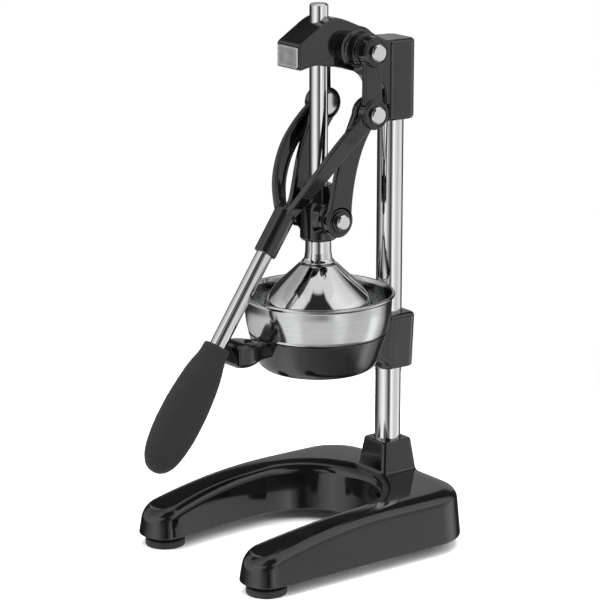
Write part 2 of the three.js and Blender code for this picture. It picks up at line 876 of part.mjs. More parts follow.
function makeCrosshead() {
  const sleeve = turned([
    [0, crossheadBottom],
    [crossheadRadius - crossheadBevel, crossheadBottom],
    [crossheadRadius, crossheadBottom + crossheadBevel],
    [crossheadRadius, crossPivotHeight + crossBossRadius],
    [crossheadRadius - crossheadBevel, crossheadTop - crossheadBevel],
    [crossheadRadius - 2 * crossheadBevel, crossheadTop],
    [0, crossheadTop],
  ], midSteps);
  const bosses = sides.map(([, side]) => alongX(turned([
    [0, 0],
    [crossBossRadius, 0],
    [crossBossRadius, bossReach - crossBossStepLength - slack / 2],
    [crossBossStep, bossReach - crossBossStepLength],
    [crossBossStep, bossReach],
    [0, bossReach],
  ], midSteps), side).translate(0, 0, crossPivotHeight));
  const bolts = sides.map(([, side]) => alongX(
    bar(pinRadius + gap, bossReach - lowerBoltDepth - slack, bossReach + overrun, smallSteps), side,
  ).translate(0, 0, crossPivotHeight));
  const body = joined(solid(sleeve), ...bosses.map(solid));
  return surface(cutBy(
    body,
    solid(bar(rodRadius + gap, crossheadBottom - overrun, crossheadTop + overrun, midSteps)),
    grubHole(rodRadius, crossGrubHeight, 0),
    ...bolts.map(solid),
  )).translate(0, -reach, 0);
}

// Links. The body is a bowed strap between the two eyes. The bow is a little fuller near the elbow, and
// the strap gets wider towards both eyes.
const elbow = flat(-pivotSetback, elbowHeight);
const crossPivot = flat(-reach, crossPivotHeight);
const strapSteps = 6;
const bowSkewShare = 0.3;
const strapFlareShare = 0.27;
const strapFlarePower = 4;
const pocketEndShare = 0.2;

function strap(halfWidth, endShare) {
  const along = elbow.clone().sub(crossPivot);
  const across = flat(-along.y, along.x).normalize();
  const front = [];
  const back = [];
  for (let k = 0; k <= strapSteps; k += 1) {
    const share = endShare + (k / strapSteps) * (1 - 2 * endShare);
    const bow = linkBow * Math.sin(Math.PI * share) * (1 + bowSkewShare * (2 * share - 1));
    const middle = crossPivot.clone().addScaledVector(along, share).addScaledVector(across, bow);
    const wide = halfWidth * (1 + strapFlareShare * (2 * share - 1) ** strapFlarePower);
    front.push(middle.clone().addScaledVector(across, wide));
    back.unshift(middle.clone().addScaledVector(across, -wide));
  }
  return new THREE.Shape([...front, ...back]);
}

const disc = (middle, radius) => new THREE.Shape().absarc(middle.x, middle.y, radius, 0, circle);

function makeLink(side) {
  const [near, far] = side > 0
    ? [linkInner, linkInner + linkThickness]
    : [-linkInner - linkThickness, -linkInner];
  const pocket = side > 0
    ? [linkInner - overrun, linkInner + linkPocket]
    : [-linkInner - linkPocket, -linkInner + overrun];
  const body = joined(
    solid(sideCut(strap(linkHalfWidth, 0), near, far, linkBevel)),
    solid(sideCut(disc(elbow, linkUpperRadius), near, far, linkBevel)),
    solid(sideCut(disc(crossPivot, linkLowerRadius), near, far, linkBevel)),
  );
  const holes = [elbow, crossPivot].map((p) => solid(onPivot(
    bar(pinRadius + gap, linkInner - overrun, linkInner + linkThickness + overrun, smallSteps), side, p,
  )));
  const headSeat = linkInner - innerHeadProud + innerHead;
  const sunk = bar(innerHeadRadius + gap, linkInner - overrun, headSeat + gap, smallSteps);
  return surface(cutBy(
    body,
    solid(sideCut(strap(linkHalfWidth - linkPocketRim, pocketEndShare), ...pocket, 0)),
    solid(onPivot(sunk, side, elbow)),
    ...holes,
  ));
}

// Pin with a rounded head: the shank runs inwards from the seat of the head, both along Z
function headedPin(seat, headRadius, head, shankEnd) {
  const out = Math.sign(seat - shankEnd);
  return turned([
    [0, shankEnd],
    [pinRadius, shankEnd],
    [pinRadius, seat],
    [headRadius, seat],
    [headRadius, seat + out * (head - pinHeadBevel)],
    [headRadius - pinHeadBevel / 3, seat + out * (head - pinHeadBevel / 3)],
    [headRadius - pinHeadBevel, seat + out * head],
    [0, seat + out * head],
  ], smallSteps);
}

const onPivot = (geometry, side, middle) => alongX(geometry, side).translate(0, middle.x, middle.y);

// Lever fork: on each side an upright plate from the head pivot to the elbow and a bowed arm from the
// elbow to the socket of the lever rod
const pivot = flat(-pivotSetback, pivotHeight);
const forkOuter = forkInner + forkThickness;
const forkSeat = forkOuter - forkRecess;
const socketTop = flat(-pivotSetback - socketForward, elbowHeight - socketDrop);

// Shares of the spread, of the way forward and of the way down from the elbow to the socket. The arm
// lies a little behind this line, and is on it at the socket.
const armShares = [
  [0.997, 0, 0], [1.026, 0.187, 0.1], [1.013, 0.309, 0.182], [0.994, 0.421, 0.261],
  [0.968, 0.52, 0.337], [0.92, 0.603, 0.416], [0.872, 0.677, 0.494], [0.798, 0.743, 0.573],
  [0.724, 0.805, 0.652], [0.625, 0.858, 0.728], [0.522, 0.904, 0.804], [0.404, 0.94, 0.878],
  [0.285, 0.966, 0.952], [0.144, 1.009, 1.021],
];

function makeArm(side) {
  const spread = forkInner + forkWebThickness / 2;
  const way = new THREE.CatmullRomCurve3(armShares.map(([across, forward, down]) => point(
    side * spread * across,
    elbow.x + forward * (socketTop.x - elbow.x),
    elbow.y + down * (socketTop.y - elbow.y),
  )));
  const steps = armShares.length - 1;
  const outline = (width) => {
    const n = width / 2;
    const b = armThickness / 2;
    const rim = n - armPocketRim;
    return [
      flat(-n + armChamfer, b), flat(-n, b - armChamfer), flat(-n, armChamfer - b),
      flat(armChamfer - n, -b), flat(-rim, -b), flat(armPocket - rim, armPocket - b),
      flat(rim - armPocket, armPocket - b), flat(rim, -b), flat(n - armChamfer, -b),
      flat(n, armChamfer - b), flat(n, b - armChamfer), flat(n - armChamfer, b),
    ];
  };
  const rings = [];
  for (let k = 0; k <= steps; k += 1) {
    const share = k / steps;
    const middle = way.getPoint(share);
    const tangent = way.getTangent(share);
    const outward = point(side, 0, 0).addScaledVector(tangent, -side * tangent.x).normalize();
    const across = outward.clone().cross(tangent).normalize();
    const setback = side * armSetback * (1 - share * share);
    rings.push(outline(armWidth + share * share * (armEndWidth - armWidth)).map((p) => (
      middle.clone().addScaledVector(across, p.x + setback).addScaledVector(outward, p.y)
    )));
  }
  return loft(rings, outline(armWidth));
}

// Turns a piece drawn along Z so that it points down the lever, starting at the socket's top
const alongLever = (geometry) => (
  geometry.rotateX(Math.PI - turn(leverAngle)).translate(0, socketTop.x, socketTop.y)
);

function makeFork() {
  const layer = (side, from, to) => (side > 0 ? [from, to] : [-to, -from]);
  const web = new THREE.Shape([
    flat(pivot.x - forkWebHalf, elbow.y), flat(pivot.x + forkWebHalf, elbow.y),
    flat(pivot.x + forkWebHalf, pivot.y), flat(pivot.x - forkWebHalf, pivot.y),
  ]);
  const plates = sides.flatMap(([, side]) => [
    solid(sideCut(web, ...layer(side, forkInner, forkInner + forkWebThickness), forkBevel)),
    ...[pivot, elbow].map((middle) => solid(sideCut(
      disc(middle, forkEyeRadius), ...layer(side, forkInner, forkOuter), forkBevel,
    ))),
  ]);
  const arms = sides.map(([, side]) => solid(makeArm(side)));
  const socket = solid(alongLever(turned([
    [0, -socketRoot],
    [socketRadius - 2 * socketBevel, -socketRoot],
    [socketRadius, 2 * socketBevel - socketRoot],
    [socketRadius, socketLength - socketBevel],
    [socketRadius - socketBevel, socketLength],
    [0, socketLength],
  ], midSteps)));
  const rodHole = solid(alongLever(
    bar(leverRodRadius + gap, leverRodSeat - gap, socketLength + overrun, midSteps),
  ));
  const pinHoles = sides.flatMap(([, side]) => [pivot, elbow].map((middle) => solid(onPivot(
    bar(pinRadius + gap, forkInner - overrun, forkOuter + overrun, smallSteps), side, middle,
  ))));
  const seats = sides.flatMap(([, side]) => [pivot, elbow].map((middle) => solid(onPivot(
    bar(forkRecessRadius, forkSeat, forkOuter + overrun, midSteps), side, middle,
  ))));
  return surface(cutBy(joined(...plates, ...arms, socket), rodHole, ...pinHoles, ...seats));
}

function makeLeverRod() {
  return alongLever(turned([
    [0, leverRodSeat],
    [leverRodRadius, leverRodSeat],
    [leverRodRadius, leverRodSeat + leverRodLength],
    [0, leverRodSeat + leverRodLength],
  ], midSteps));
}

// Grip: shares of its length and of its largest radius
const gripShares = [
  [0, 0.54], [0.015, 0.59], [0.08, 0.62], [0.16, 0.74], [0.25, 0.85], [0.37, 0.94], [0.52, 1],
  [0.65, 0.995], [0.77, 0.93], [0.87, 0.81], [0.94, 0.62], [0.985, 0.34], [1, 0],
];

const gripStart = leverRodSeat + leverRodLength - gripOverlap;

function makeGrip() {
  const bore = leverRodRadius + gap;
  const end = leverRodSeat + leverRodLength + gap;
  return alongLever(turned([
    [0, end],
    [bore, end],
    [bore, gripStart],
    ...gripShares.map(([along, wide]) => [gripRadius * wide, gripStart + along * gripLength]),
  ], midSteps));
}

// Head: the arm is one side outline made thick, drawn as shares of its length from the nose to the
// column and of its rise above the nose's underside
const crownShares = [
  [0.139, 0.758], [0.253, 0.939], [0.345, 1], [0.413, 0.96], [0.563, 0.803], [0.675, 0.656],
  [0.766, 0.514], [0.855, 0.41],
];
const throatShares = [
  [0.842, -0.944], [0.837, -0.722], [0.823, -0.564], [0.786, -0.414], [0.741, -0.322],
  [0.69, -0.261], [0.586, -0.186], [0.48, -0.103], [0.383, -0.022], [0.267, 0.019],
  [0.1675, 0.067], [0.09, 0.042],
];
const noseTopShare = 0.52;
const curveSteps = 12;
const bossFace = forkInner - 2 * gap - spacerThickness;

function makeHead() {
  const at = ([along, up]) => flat((along - 1) * headNose, headUnderside + up * headRise);
  const crown = new THREE.SplineCurve([[0, noseTopShare], ...crownShares].map(at)).getPoints(curveSteps);
  const throat = new THREE.SplineCurve([...throatShares, [0, 0]].map(at)).getPoints(curveSteps);
  const outline = new THREE.Shape([
    ...crown, flat(0, crown.at(-1).y), flat(0, throat[0].y), ...throat,
  ]);
  const middle = (sleeveRear - sleeveFront) / 2;
  const sleeveRing = (inset) => roundedRing(
    sleeveHalf - inset, (sleeveRear + sleeveFront) / 2 - inset, sleeveCorner - inset,
  ).map((p) => flat(p.x, p.y + middle));
  const sleeve = stacked([
    [sleeveBottom, sleeveRing(sleeveBevel)],
    [sleeveBottom + sleeveBevel, sleeveRing(0)],
    [sleeveTop - sleeveBevel, sleeveRing(0)],
    [sleeveTop - sleeveBevel / 3, sleeveRing(sleeveBevel / 3)],
    [sleeveTop, sleeveRing(sleeveBevel)],
  ], sleeveRing(0));
  const bosses = sides.map(([, side]) => solid(onPivot(turned([
    [0, 0],
    [pivotFlareRadius, 0],
    [pivotFlareRadius, headHalf - slack],
    [pivotBossRadius + slack, headHalf + pivotFlare - slack],
    [pivotBossRadius, headHalf + pivotFlare],
    [pivotBossRadius, bossFace - pivotStep],
    [pivotStepRadius, bossFace - pivotStep + slack / 2],
    [pivotStepRadius, bossFace],
    [0, bossFace],
  ], midSteps), side, pivot)));
  const boltHoles = sides.map(([, side]) => solid(onPivot(
    bar(pinRadius + gap, bossFace - pivotBoltDepth - slack, bossFace + overrun, smallSteps), side, pivot,
  )));
  const bushSeat = bar(rodRadius + bushWall + 2 * gap, headUnderside - overrun, bushTop + gap, midSteps);
  const rodHole = bar(rodRadius + gap, headUnderside - overrun, rodTop, midSteps);
  const columnHole = bar(columnRadius + gap, sleeveBottom - overrun, columnTop + gap, midSteps);
  return surface(cutBy(
    joined(solid(sideCut(outline, -headHalf, headHalf, headBevel, 2)), solid(sleeve), ...bosses),
    solid(bushSeat.translate(0, -reach, 0)),
    solid(rodHole.translate(0, -reach, 0)),
    solid(columnHole),
    grubHole(columnRadius, headGrubHeight, 0),
    ...boltHoles,
  ));
}

function makeSpacer() {
  const from = bossFace + gap;
  return tube(pinRadius + gap, spacerRadius, from, from + spacerThickness);
}

function makeLinkWasher() {
  const from = linkInner + linkThickness + gap;
  return tube(pinRadius + gap, linkWasherRadius, from, from + linkWasher);
}

function makeBush() {
  const inner = rodRadius + gap;
  return tube(inner, inner + bushWall, bushTop - bushLength, bushTop).translate(0, -reach, 0);
}

function makeBadge() {
  const outline = new THREE.Shape(roundedRing(badgeHalfWidth, badgeHalfHeight, badgeCorner));
  const plate = new THREE.ExtrudeGeometry(outline, { depth: badgeThickness, bevelEnabled: false });
  const height = headUnderside + (noseTopShare * headRise) / 2;
  return plate.rotateX(quarter).translate(0, -headNose - gap, height);
}

// The press, put together
const press = new THREE.Group();
const frame = new THREE.Group();
const plunger = new THREE.Group();
const links = new THREE.Group();
const lever = new THREE.Group();

frame.add(
  piece('base', makeBase(), blackPaint),
  piece('column', makeColumn(), chrome),
  piece('column_bolt', makeColumnBolt(), zincSteel),
  piece('column_washer', makeColumnWasher(), zincSteel),
  piece('cup_holder', makeCupHolder(), blackPaint),
  piece('juice_bowl', makeBowl(), brushedSteel),
  piece('strainer_plate', makeStrainer(), brushedSteel),
  piece('reamer_cone', makeReamer(), polishedSteel),
  piece('head', makeHead(), blackPaint),
  piece('guide_bush', makeBush(), palePlastic),
  piece('badge_plate', makeBadge(), satinPlate),
  piece('holder_grub_screw', rearward(makeGrub(), columnRadius + gap, holderGrubHeight, 0), zincSteel),
  piece('head_grub_screw', rearward(makeGrub(), columnRadius + gap, headGrubHeight, 0), zincSteel),
);
feetPlaces.forEach(([x, y], k) => {
  for (const foot of [
    piece(`foot_${k + 1}`, makeFoot(), darkRubber),
    piece(`foot_screw_${k + 1}`, makeFootScrew(), zincSteel),
  ]) {
    foot.position.set(x, y, 0);
    frame.add(foot);
  }
});
plunger.add(
  piece('plunger_rod', makePlungerRod(), chrome),
  piece('crosshead', makeCrosshead(), blackPaint),
  piece('bell_neck', makeNeck(), polishedSteel),
  piece('press_bell', makeBell(), polishedSteel),
  piece('bell_nut', makeBellNut(), zincSteel),
  piece('crosshead_grub_screw', rearward(makeGrub(), rodRadius + gap, crossGrubHeight, -reach), zincSteel),
);
lever.add(
  piece('lever_fork', makeFork(), blackPaint),
  piece('lever_rod', makeLeverRod(), chrome),
  piece('grip', makeGrip(), softGrip),
);
for (const [name, side] of sides) {
  const linkOuter = linkInner + linkThickness;
  const headSeat = forkSeat + gap;
  const upper = headedPin(headSeat, pinHeadRadius, pinHead, bossFace - pivotBoltDepth);
  const elbowPin = headedPin(headSeat, pinHeadRadius, pinHead, forkInner);
  const sunkSeat = linkInner - innerHeadProud + innerHead;
  const inner = headedPin(sunkSeat, innerHeadRadius, innerHead, linkOuter);
  const lowerSeat = linkOuter + 2 * gap + linkWasher;
  const lower = headedPin(lowerSeat, linkBoltHeadRadius, pinHead, bossReach - lowerBoltDepth);
  frame.add(
    piece(`pivot_bolt_${name}`, onPivot(upper, side, pivot), chrome),
    piece(`pivot_spacer_${name}`, onPivot(makeSpacer(), side, pivot), zincSteel),
  );
  lever.add(piece(`elbow_pin_${name}`, onPivot(elbowPin, side, elbow), chrome));
  links.add(
    piece(`link_${name}`, makeLink(side), blackPaint),
    piece(`link_pin_${name}`, onPivot(inner, side, elbow), chrome),
  );
  plunger.add(
    piece(`link_bolt_${name}`, onPivot(lower, side, crossPivot), chrome),
    piece(`link_washer_${name}`, onPivot(makeLinkWasher(), side, crossPivot), blackPaint),
  );
}
press.add(frame, plunger, links, lever);
press.updateMatrixWorld(true);
const footprint = new THREE.Box3().setFromObject(press);
press.position.set(0, -(footprint.min.y + footprint.max.y) / 2, 0);

export default press;
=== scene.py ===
# %% [markdown]
# # Lever citrus press
# This lesson dresses a lever press for oranges and lemons: a cast base, a chromed column, a steel bowl
# in a cast holder, and a head with a forked lever that pulls a bell down on the fruit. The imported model
# is the frame. Every piece made here sits where the frame says and moves with one of its bodies.

# %% Open the frame
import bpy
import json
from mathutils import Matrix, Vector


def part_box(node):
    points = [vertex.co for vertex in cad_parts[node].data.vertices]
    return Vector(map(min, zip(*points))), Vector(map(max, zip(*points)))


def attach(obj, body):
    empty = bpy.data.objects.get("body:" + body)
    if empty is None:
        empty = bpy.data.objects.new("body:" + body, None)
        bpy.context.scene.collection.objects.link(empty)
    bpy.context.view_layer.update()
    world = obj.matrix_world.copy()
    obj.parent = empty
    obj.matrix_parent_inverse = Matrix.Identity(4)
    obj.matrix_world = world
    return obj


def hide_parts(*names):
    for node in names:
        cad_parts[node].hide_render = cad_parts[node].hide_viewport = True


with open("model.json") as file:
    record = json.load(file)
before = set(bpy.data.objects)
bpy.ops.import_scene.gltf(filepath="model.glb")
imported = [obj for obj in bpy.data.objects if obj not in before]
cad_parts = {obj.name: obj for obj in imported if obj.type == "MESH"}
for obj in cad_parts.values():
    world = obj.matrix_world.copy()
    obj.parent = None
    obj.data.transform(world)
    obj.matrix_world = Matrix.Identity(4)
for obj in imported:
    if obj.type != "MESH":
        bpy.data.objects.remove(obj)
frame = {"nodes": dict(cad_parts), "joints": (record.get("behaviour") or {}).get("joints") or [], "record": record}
print("nodes in the frame:", len(frame["nodes"]))

# %% Tools of Blender and Python
import json
import math
import bmesh
import bpy
from mathutils import Matrix, Vector
from mathutils.bvhtree import BVHTree

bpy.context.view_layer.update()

# %% [markdown]
# ## Measures
# A maker's drawing of this press starts at the column, in millimetres. So does this script: shapes are
# drawn from the column's axis, with Z up from the table and the front at -Y, and are moved into the
# frame's metres when a piece is made. Most sizes are read from the frame's boxes and joints.

# %% Read the drawing's measures
MM = 0.001
column_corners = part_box("column")
AXIS = Vector((0, (column_corners[0].y + column_corners[1].y) / 2, 0))


def span(node):
    """The lowest and highest corner of a node, in millimetres from the column's axis."""
    low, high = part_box(node)
    return (low - AXIS) / MM, (high - AXIS) / MM


def joint_place(name):
    """Where a joint turns: its Y and Z in millimetres."""
    joint = next(j for j in frame["joints"] if j["name"] == name)
    place = (Vector(joint["pos_m"]) - AXIS) / MM
    return Vector((place.y, place.z))


def centre(node):
    low, high = span(node)
    return (low + high) / 2


COLUMN_RADIUS = span("column")[1].x
ROD_RADIUS = span("plunger_rod")[1].x
REACH = -centre("plunger_rod").y
PIVOT = joint_place("lever_swing")
CROSS = joint_place("link_left_swing")
ELBOW = centre("elbow_pin_left").yz
GAP = 0.3
PIN_RADIUS = 4
PIN_BORE = PIN_RADIUS + GAP
print(f"reach {REACH:.1f}, pivot {tuple(PIVOT)}, elbow {tuple(ELBOW)}, crosshead {tuple(CROSS)}")

# %% [markdown]
# ## Outlines
# Cast and turned metal has no bare corners. Each outline is therefore a list of corners, and the third
# number of a corner is the radius that `soften` rounds it with, as a file would. Where a form flows
# without corners, as a spun bell does, `flowing` draws a smooth curve through a few places instead.

# %% Outlines
ARC_STEPS = 6
STRAIGHT = 0.02
EDGE_SHARE = 0.49


def soften(corners, closed=False, steps=ARC_STEPS):
    """Rounds a line of corners (a, b, radius). A corner without a radius stays sharp."""
    line = []
    for k, corner in enumerate(corners):
        here = Vector(corner[:2])
        radius = corner[2] if len(corner) > 2 else 0
        if not radius or (not closed and k in (0, len(corners) - 1)):
            line.append(here)
            continue
        back = Vector(corners[k - 1][:2]) - here
        ahead = Vector(corners[(k + 1) % len(corners)][:2]) - here
        bend = math.pi - back.angle(ahead)
        if bend < STRAIGHT:
            line += [here] * (steps + 1)
            continue
        room = EDGE_SHARE * min(back.length, ahead.length)
        reach = min(radius * math.tan(bend / 2), room)
        start, end = here + back.normalized() * reach, here + ahead.normalized() * reach
        way_in = (back.normalized() + ahead.normalized()).normalized()
        middle = here + way_in * (reach / math.tan(bend / 2) / math.cos(bend / 2))
        for n in range(steps + 1):
            share = n / steps
            from_start = math.sin((1 - share) * bend) / math.sin(bend)
            from_end = math.sin(share * bend) / math.sin(bend)
            line.append(middle + (start - middle) * from_start + (end - middle) * from_end)
    return line


def flowing(points, steps):
    """A smooth curve through the points, with the given steps from one to the next."""
    points = [Vector(p) for p in points]
    ends = [2 * points[0] - points[1], *points, 2 * points[-1] - points[-2]]
    line = []
    for a, b, c, d in zip(ends, ends[1:], ends[2:], ends[3:]):
        for n in range(steps):
            t = n / steps
            line.append((2 * b + (c - a) * t + (2 * a - 5 * b + 4 * c - d) * t * t
                         + (3 * b - 3 * c + d - a) * t ** 3) / 2)
    return [*line, points[-1]]


def rounded_square(half_x, half_y, corner, steps=8):
    """A ring of points round a rectangle with round corners, from the middle out."""
    corners = [(half_x, half_y), (-half_x, half_y), (-half_x, -half_y), (half_x, -half_y)]
    return soften([(x, y, corner) for x, y in corners], closed=True, steps=steps)


print("points of a rounded square:", len(rounded_square(2, 2, 1)))

# %% [markdown]
# ## Skins
# Blender has a lathe and a curve tool of its own, but a press needs parts that change along the way. So
# `skin` stretches faces over a row of equal rings of points, `turned` makes the rings of a lathe, and
# `swept` those of a bar along a path. Each gives plain points and faces, which can be moved and joined.

# %% Skins
TURN_STEPS = 96


def skin(rings, loop=False):
    """Faces over equal rings. In a loop the last ring joins the first, else the ends are closed."""
    count, rows = len(rings[0]), len(rings)
    faces = []
    for k in range(rows if loop else rows - 1):
        a, b = k * count, (k + 1) % rows * count
        faces += [(a + n, a + (n + 1) % count, b + (n + 1) % count, b + n) for n in range(count)]
    if not loop:
        faces += [tuple(range(count)), tuple(range((rows - 1) * count, rows * count))]
    return [Vector(p) for ring in rings for p in ring], faces


def turned(profile, steps=TURN_STEPS, loop=False, shape=None):
    """Spins pairs of radius and height about Z. A shape gives a radius factor for a height and an angle."""
    rings = []
    for radius, height in profile:
        ring = []
        for n in range(steps):
            angle = 2 * math.pi * n / steps
            wide = radius * (shape(radius, height, angle) if shape else 1)
            ring.append((wide * math.cos(angle), wide * math.sin(angle), height))
        rings.append(ring)
    return skin(rings, loop=loop)


def swept(path, side, section):
    """Carries section(share) along a path, with its flat side facing -X or +X."""
    rings, last = [], len(path) - 1
    for k, here in enumerate(path):
        tangent = (path[min(k + 1, last)] - path[max(k - 1, 0)]).normalized()
        outward = (Vector((side, 0, 0)) - tangent * side * tangent.x).normalized()
        across = outward.cross(tangent).normalized()
        rings.append([here + across * a + outward * b for a, b in section(k / last)])
    return skin(rings)


def moved(part, matrix):
    return [matrix @ p for p in part[0]], part[1]


def shifted(part, x, y):
    return moved(part, Matrix.Translation((x, y, 0)))


def on_pivot(part, side, place):
    """Turns a part drawn along Z so that it points out to one side, on an axis at the given Y and Z."""
    turn = Matrix.Rotation(side * math.pi / 2, 4, "Y")
    return moved(part, Matrix.Translation((0, place[0], place[1])) @ turn)


def on_plunger(part):
    return shifted(part, 0, -REACH)


print("faces of a turned disc:", len(turned([(0, 0), (1, 0)])[1]))

# %% [markdown]
# ## From parts to pieces
# `piece` cleans each part (doubles merged, faces turned out), joins the parts into one object in the
# frame's metres, shades it smooth with crisp edges where it bends sharply, and hands it to the frame:
# which body it rides on, which nodes it stands for, and which finish it takes.

# %% The piece maker
SHARP = math.radians(34)
MERGE = 0.002
BODY_OF = {node: body for body, nodes in frame["record"]["behaviour"]["bodies"].items() for node in nodes}


def cleaned(part):
    """The part with its doubles merged and its faces pointing out."""
    mesh = new_mesh("part", *part)
    work = bmesh.new()
    work.from_mesh(mesh)
    bmesh.ops.remove_doubles(work, verts=work.verts, dist=MERGE)
    bmesh.ops.dissolve_degenerate(work, edges=work.edges, dist=MERGE / 2)
    bmesh.ops.recalc_face_normals(work, faces=work.faces)
    work.verts.index_update()
    result = [v.co.copy() for v in work.verts], [tuple(v.index for v in f.verts) for f in work.faces]
    work.free()
    bpy.data.meshes.remove(mesh)
    return result


def joined(parts):
    points, faces = [], []
    for part in map(cleaned, parts):
        faces += [tuple(n + len(points) for n in face) for face in part[1]]
        points += part[0]
    return points, faces


def linked(name, data):
    """A new object at the origin, linked to the scene."""
    obj = bpy.data.objects.new(name, data)
    bpy.context.scene.collection.objects.link(obj)
    return obj


def new_mesh(name, points, faces):
    mesh = bpy.data.meshes.new(name)
    mesh.from_pydata(points, [], faces)
    return mesh


def new_object(name, parts):
    """Parts drawn in millimetres from the column, as one object in the frame's metres."""
    points, faces = joined(parts)
    return linked(name, new_mesh(name, [AXIS + p * MM for p in points], faces))


def settled(obj):
    """Keeps what the object's modifiers make as its plain mesh."""
    bpy.context.view_layer.update()
    made = bpy.data.meshes.new_from_object(obj.evaluated_get(bpy.context.evaluated_depsgraph_get()))
    obj.modifiers.clear()
    obj.data = made


def finished(obj, nodes, finish):
    """Shades the piece, gives it its finish, and hands it to the frame."""
    obj.data.polygons.foreach_set("use_smooth", [True] * len(obj.data.polygons))
    obj.data.set_sharp_from_angle(angle=SHARP)
    if not obj.data.materials:
        obj.data.materials.append(finish)
    obj.modifiers.new("even_shading", "WEIGHTED_NORMAL").keep_sharp = True
    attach(obj, BODY_OF[nodes[0]])
    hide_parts(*nodes)
    print(f"{obj.name}: {len(obj.data.polygons)} faces, rides on {BODY_OF[nodes[0]]}")


def piece(name, parts, nodes, finish):
    finished(new_object(name, parts), nodes, finish)


# %% [markdown]
# ## Trees of nodes
# Finishes and repeated pieces are both trees of nodes. One helper adds a node, sets its options and
# fills its inputs, with a value or with a link from another node, so that a tree reads like a recipe.

# %% The node helper
def add(tree, kind, options=None, inputs=None):
    node = tree.nodes.new(kind)
    for key, value in (options or {}).items():
        setattr(node, key, value)
    for key, value in (inputs or {}).items():
        if isinstance(value, bpy.types.NodeSocket):
            tree.links.new(value, node.inputs[key])
        else:
            node.inputs[key].default_value = value
    return node


def math_node(tree, operation, *values):
    return add(tree, "ShaderNodeMath", {"operation": operation}, dict(enumerate(values))).outputs[0]


def vector_node(tree, x=0.0, y=0.0, z=0.0):
    return add(tree, "ShaderNodeCombineXYZ", None, {0: x, 1: y, 2: z}).outputs[0]


print("tree helpers:", add.__name__, math_node.__name__, vector_node.__name__)

# %% [markdown]
# ## Finishes
# Each finish is a principled surface with the small faults that make it real: paint that flowed a
# little before it set, turning marks that run round an axis, a grip with a fine foam grain. The marks
# read Object coordinates, in metres, so they stay on the piece from every side.

# %% Tools for finishes
NOISE_LOW, NOISE_HIGH = 0.3, 0.7
SURFACE = "Principled BSDF"


def new_finish(name, **values):
    """A material with its principled node's sockets set to plain values."""
    material = bpy.data.materials.new(name)
    material.use_nodes = True
    surface = material.node_tree.nodes[SURFACE]
    for key, value in values.items():
        surface.inputs[key.replace("_", " ").title().replace("Ior", "IOR")].default_value = value
    return material, material.node_tree


def centred(tree, place=(0, 0, 0)):
    """Object coordinates, seen from a place in millimetres."""
    coordinates = add(tree, "ShaderNodeTexCoord").outputs["Object"]
    at = AXIS + Vector(place) * MM
    return add(tree, "ShaderNodeVectorMath", {"operation": "SUBTRACT"}, {0: coordinates, 1: at}).outputs[0]


def noise(tree, vector, per_metre, detail=2.0, roughness=0.5):
    values = {"Vector": vector, "Scale": per_metre, "Detail": detail, "Roughness": roughness}
    return add(tree, "ShaderNodeTexNoise", None, values).outputs["Fac"]


def spread(tree, value, low, high):
    """Maps a noise from its middle part to a range of values."""
    ends = {"Value": value, "From Min": NOISE_LOW, "From Max": NOISE_HIGH, "To Min": low, "To Max": high}
    return add(tree, "ShaderNodeMapRange", None, ends).outputs[0]


def tint(tree, value, dark, light):
    ramp = add(tree, "ShaderNodeValToRGB", None, {"Fac": value})
    for stop, place, colour in zip(ramp.color_ramp.elements, (NOISE_LOW, NOISE_HIGH), (dark, light)):
        stop.position = place
        stop.color = (*colour, 1)
    return ramp.outputs["Color"]


def dulled(colour, share):
    return tuple(share * c for c in colour)


def dress(material, colour, rough=None, layers=()):
    """Links colour, roughness and bumps. A bump is a height, a depth in millimetres and a strength."""
    tree = material.node_tree
    surface = tree.nodes[SURFACE]
    tree.links.new(colour, surface.inputs["Base Color"])
    if rough:
        tree.links.new(rough, surface.inputs["Roughness"])
    normal = None
    for height, depth, strength in layers:
        values = {"Height": height, "Distance": depth * MM, "Strength": strength}
        if normal:
            values["Normal"] = normal
        normal = add(tree, "ShaderNodeBump", None, values).outputs[0]
    if normal:
        tree.links.new(normal, surface.inputs["Normal"])
    print(f"{material.name}: {len(tree.nodes)} nodes")
    return material


print("a noise is used from", NOISE_LOW, "to", NOISE_HIGH)

# %% [markdown]
# ### Black enamel
# The castings are painted in gloss black, which shows almost nothing but reflections. So the colour is
# close to black, and a clear coat lies on it. A slow wave in the bump lets reflections swim a little, as
# they do on painted cast iron; a mirror without it would look like plastic.

# %% Black enamel on the castings
def black_enamel():
    """Glossy black paint: it flowed a little before it set, and thin dust dulls it in places."""
    material, tree = new_finish("black_enamel", metallic=0.0, ior=1.5, coat_weight=0.5, coat_roughness=0.03)
    here = centred(tree)
    cloud = noise(tree, here, 28, 3.0)
    flow = noise(tree, here, 140)
    grain = noise(tree, here, 1900)
    colour = tint(tree, cloud, (0.0022, 0.0022, 0.0024), (0.0045, 0.0045, 0.0048))
    layers = [(flow, 0.06, 0.4), (grain, 0.006, 0.3)]
    return dress(material, colour, spread(tree, cloud, 0.07, 0.12), layers)


ENAMEL = black_enamel()

# %% [markdown]
# ### Chrome
# Column, rods and pins are plated over drawn bar. A plain mirror would do from far off, but drawing marks
# along the bar and a slightly cloudy roughness keep a long highlight from looking drawn with a ruler.
# The marks are a noise that is stretched along Z. The pins' turned heads are a little duller.

# %% Chrome on the column and rods
DRAWN_OUT = 0.02


def chrome(name, colour, rough):
    """Plated bar: a mirror with very faint drawing marks along it."""
    material, tree = new_finish(name, metallic=1.0)
    here = centred(tree)
    stretch = {"Vector": here, "Scale": (1, 1, DRAWN_OUT)}
    marks = noise(tree, add(tree, "ShaderNodeMapping", None, stretch).outputs[0], 1500)
    cloud = noise(tree, here, 35, 3.0)
    colours = tint(tree, cloud, dulled(colour, 0.95), colour)
    return dress(material, colours, spread(tree, cloud, *rough), [(marks, 0.002, 0.15)])


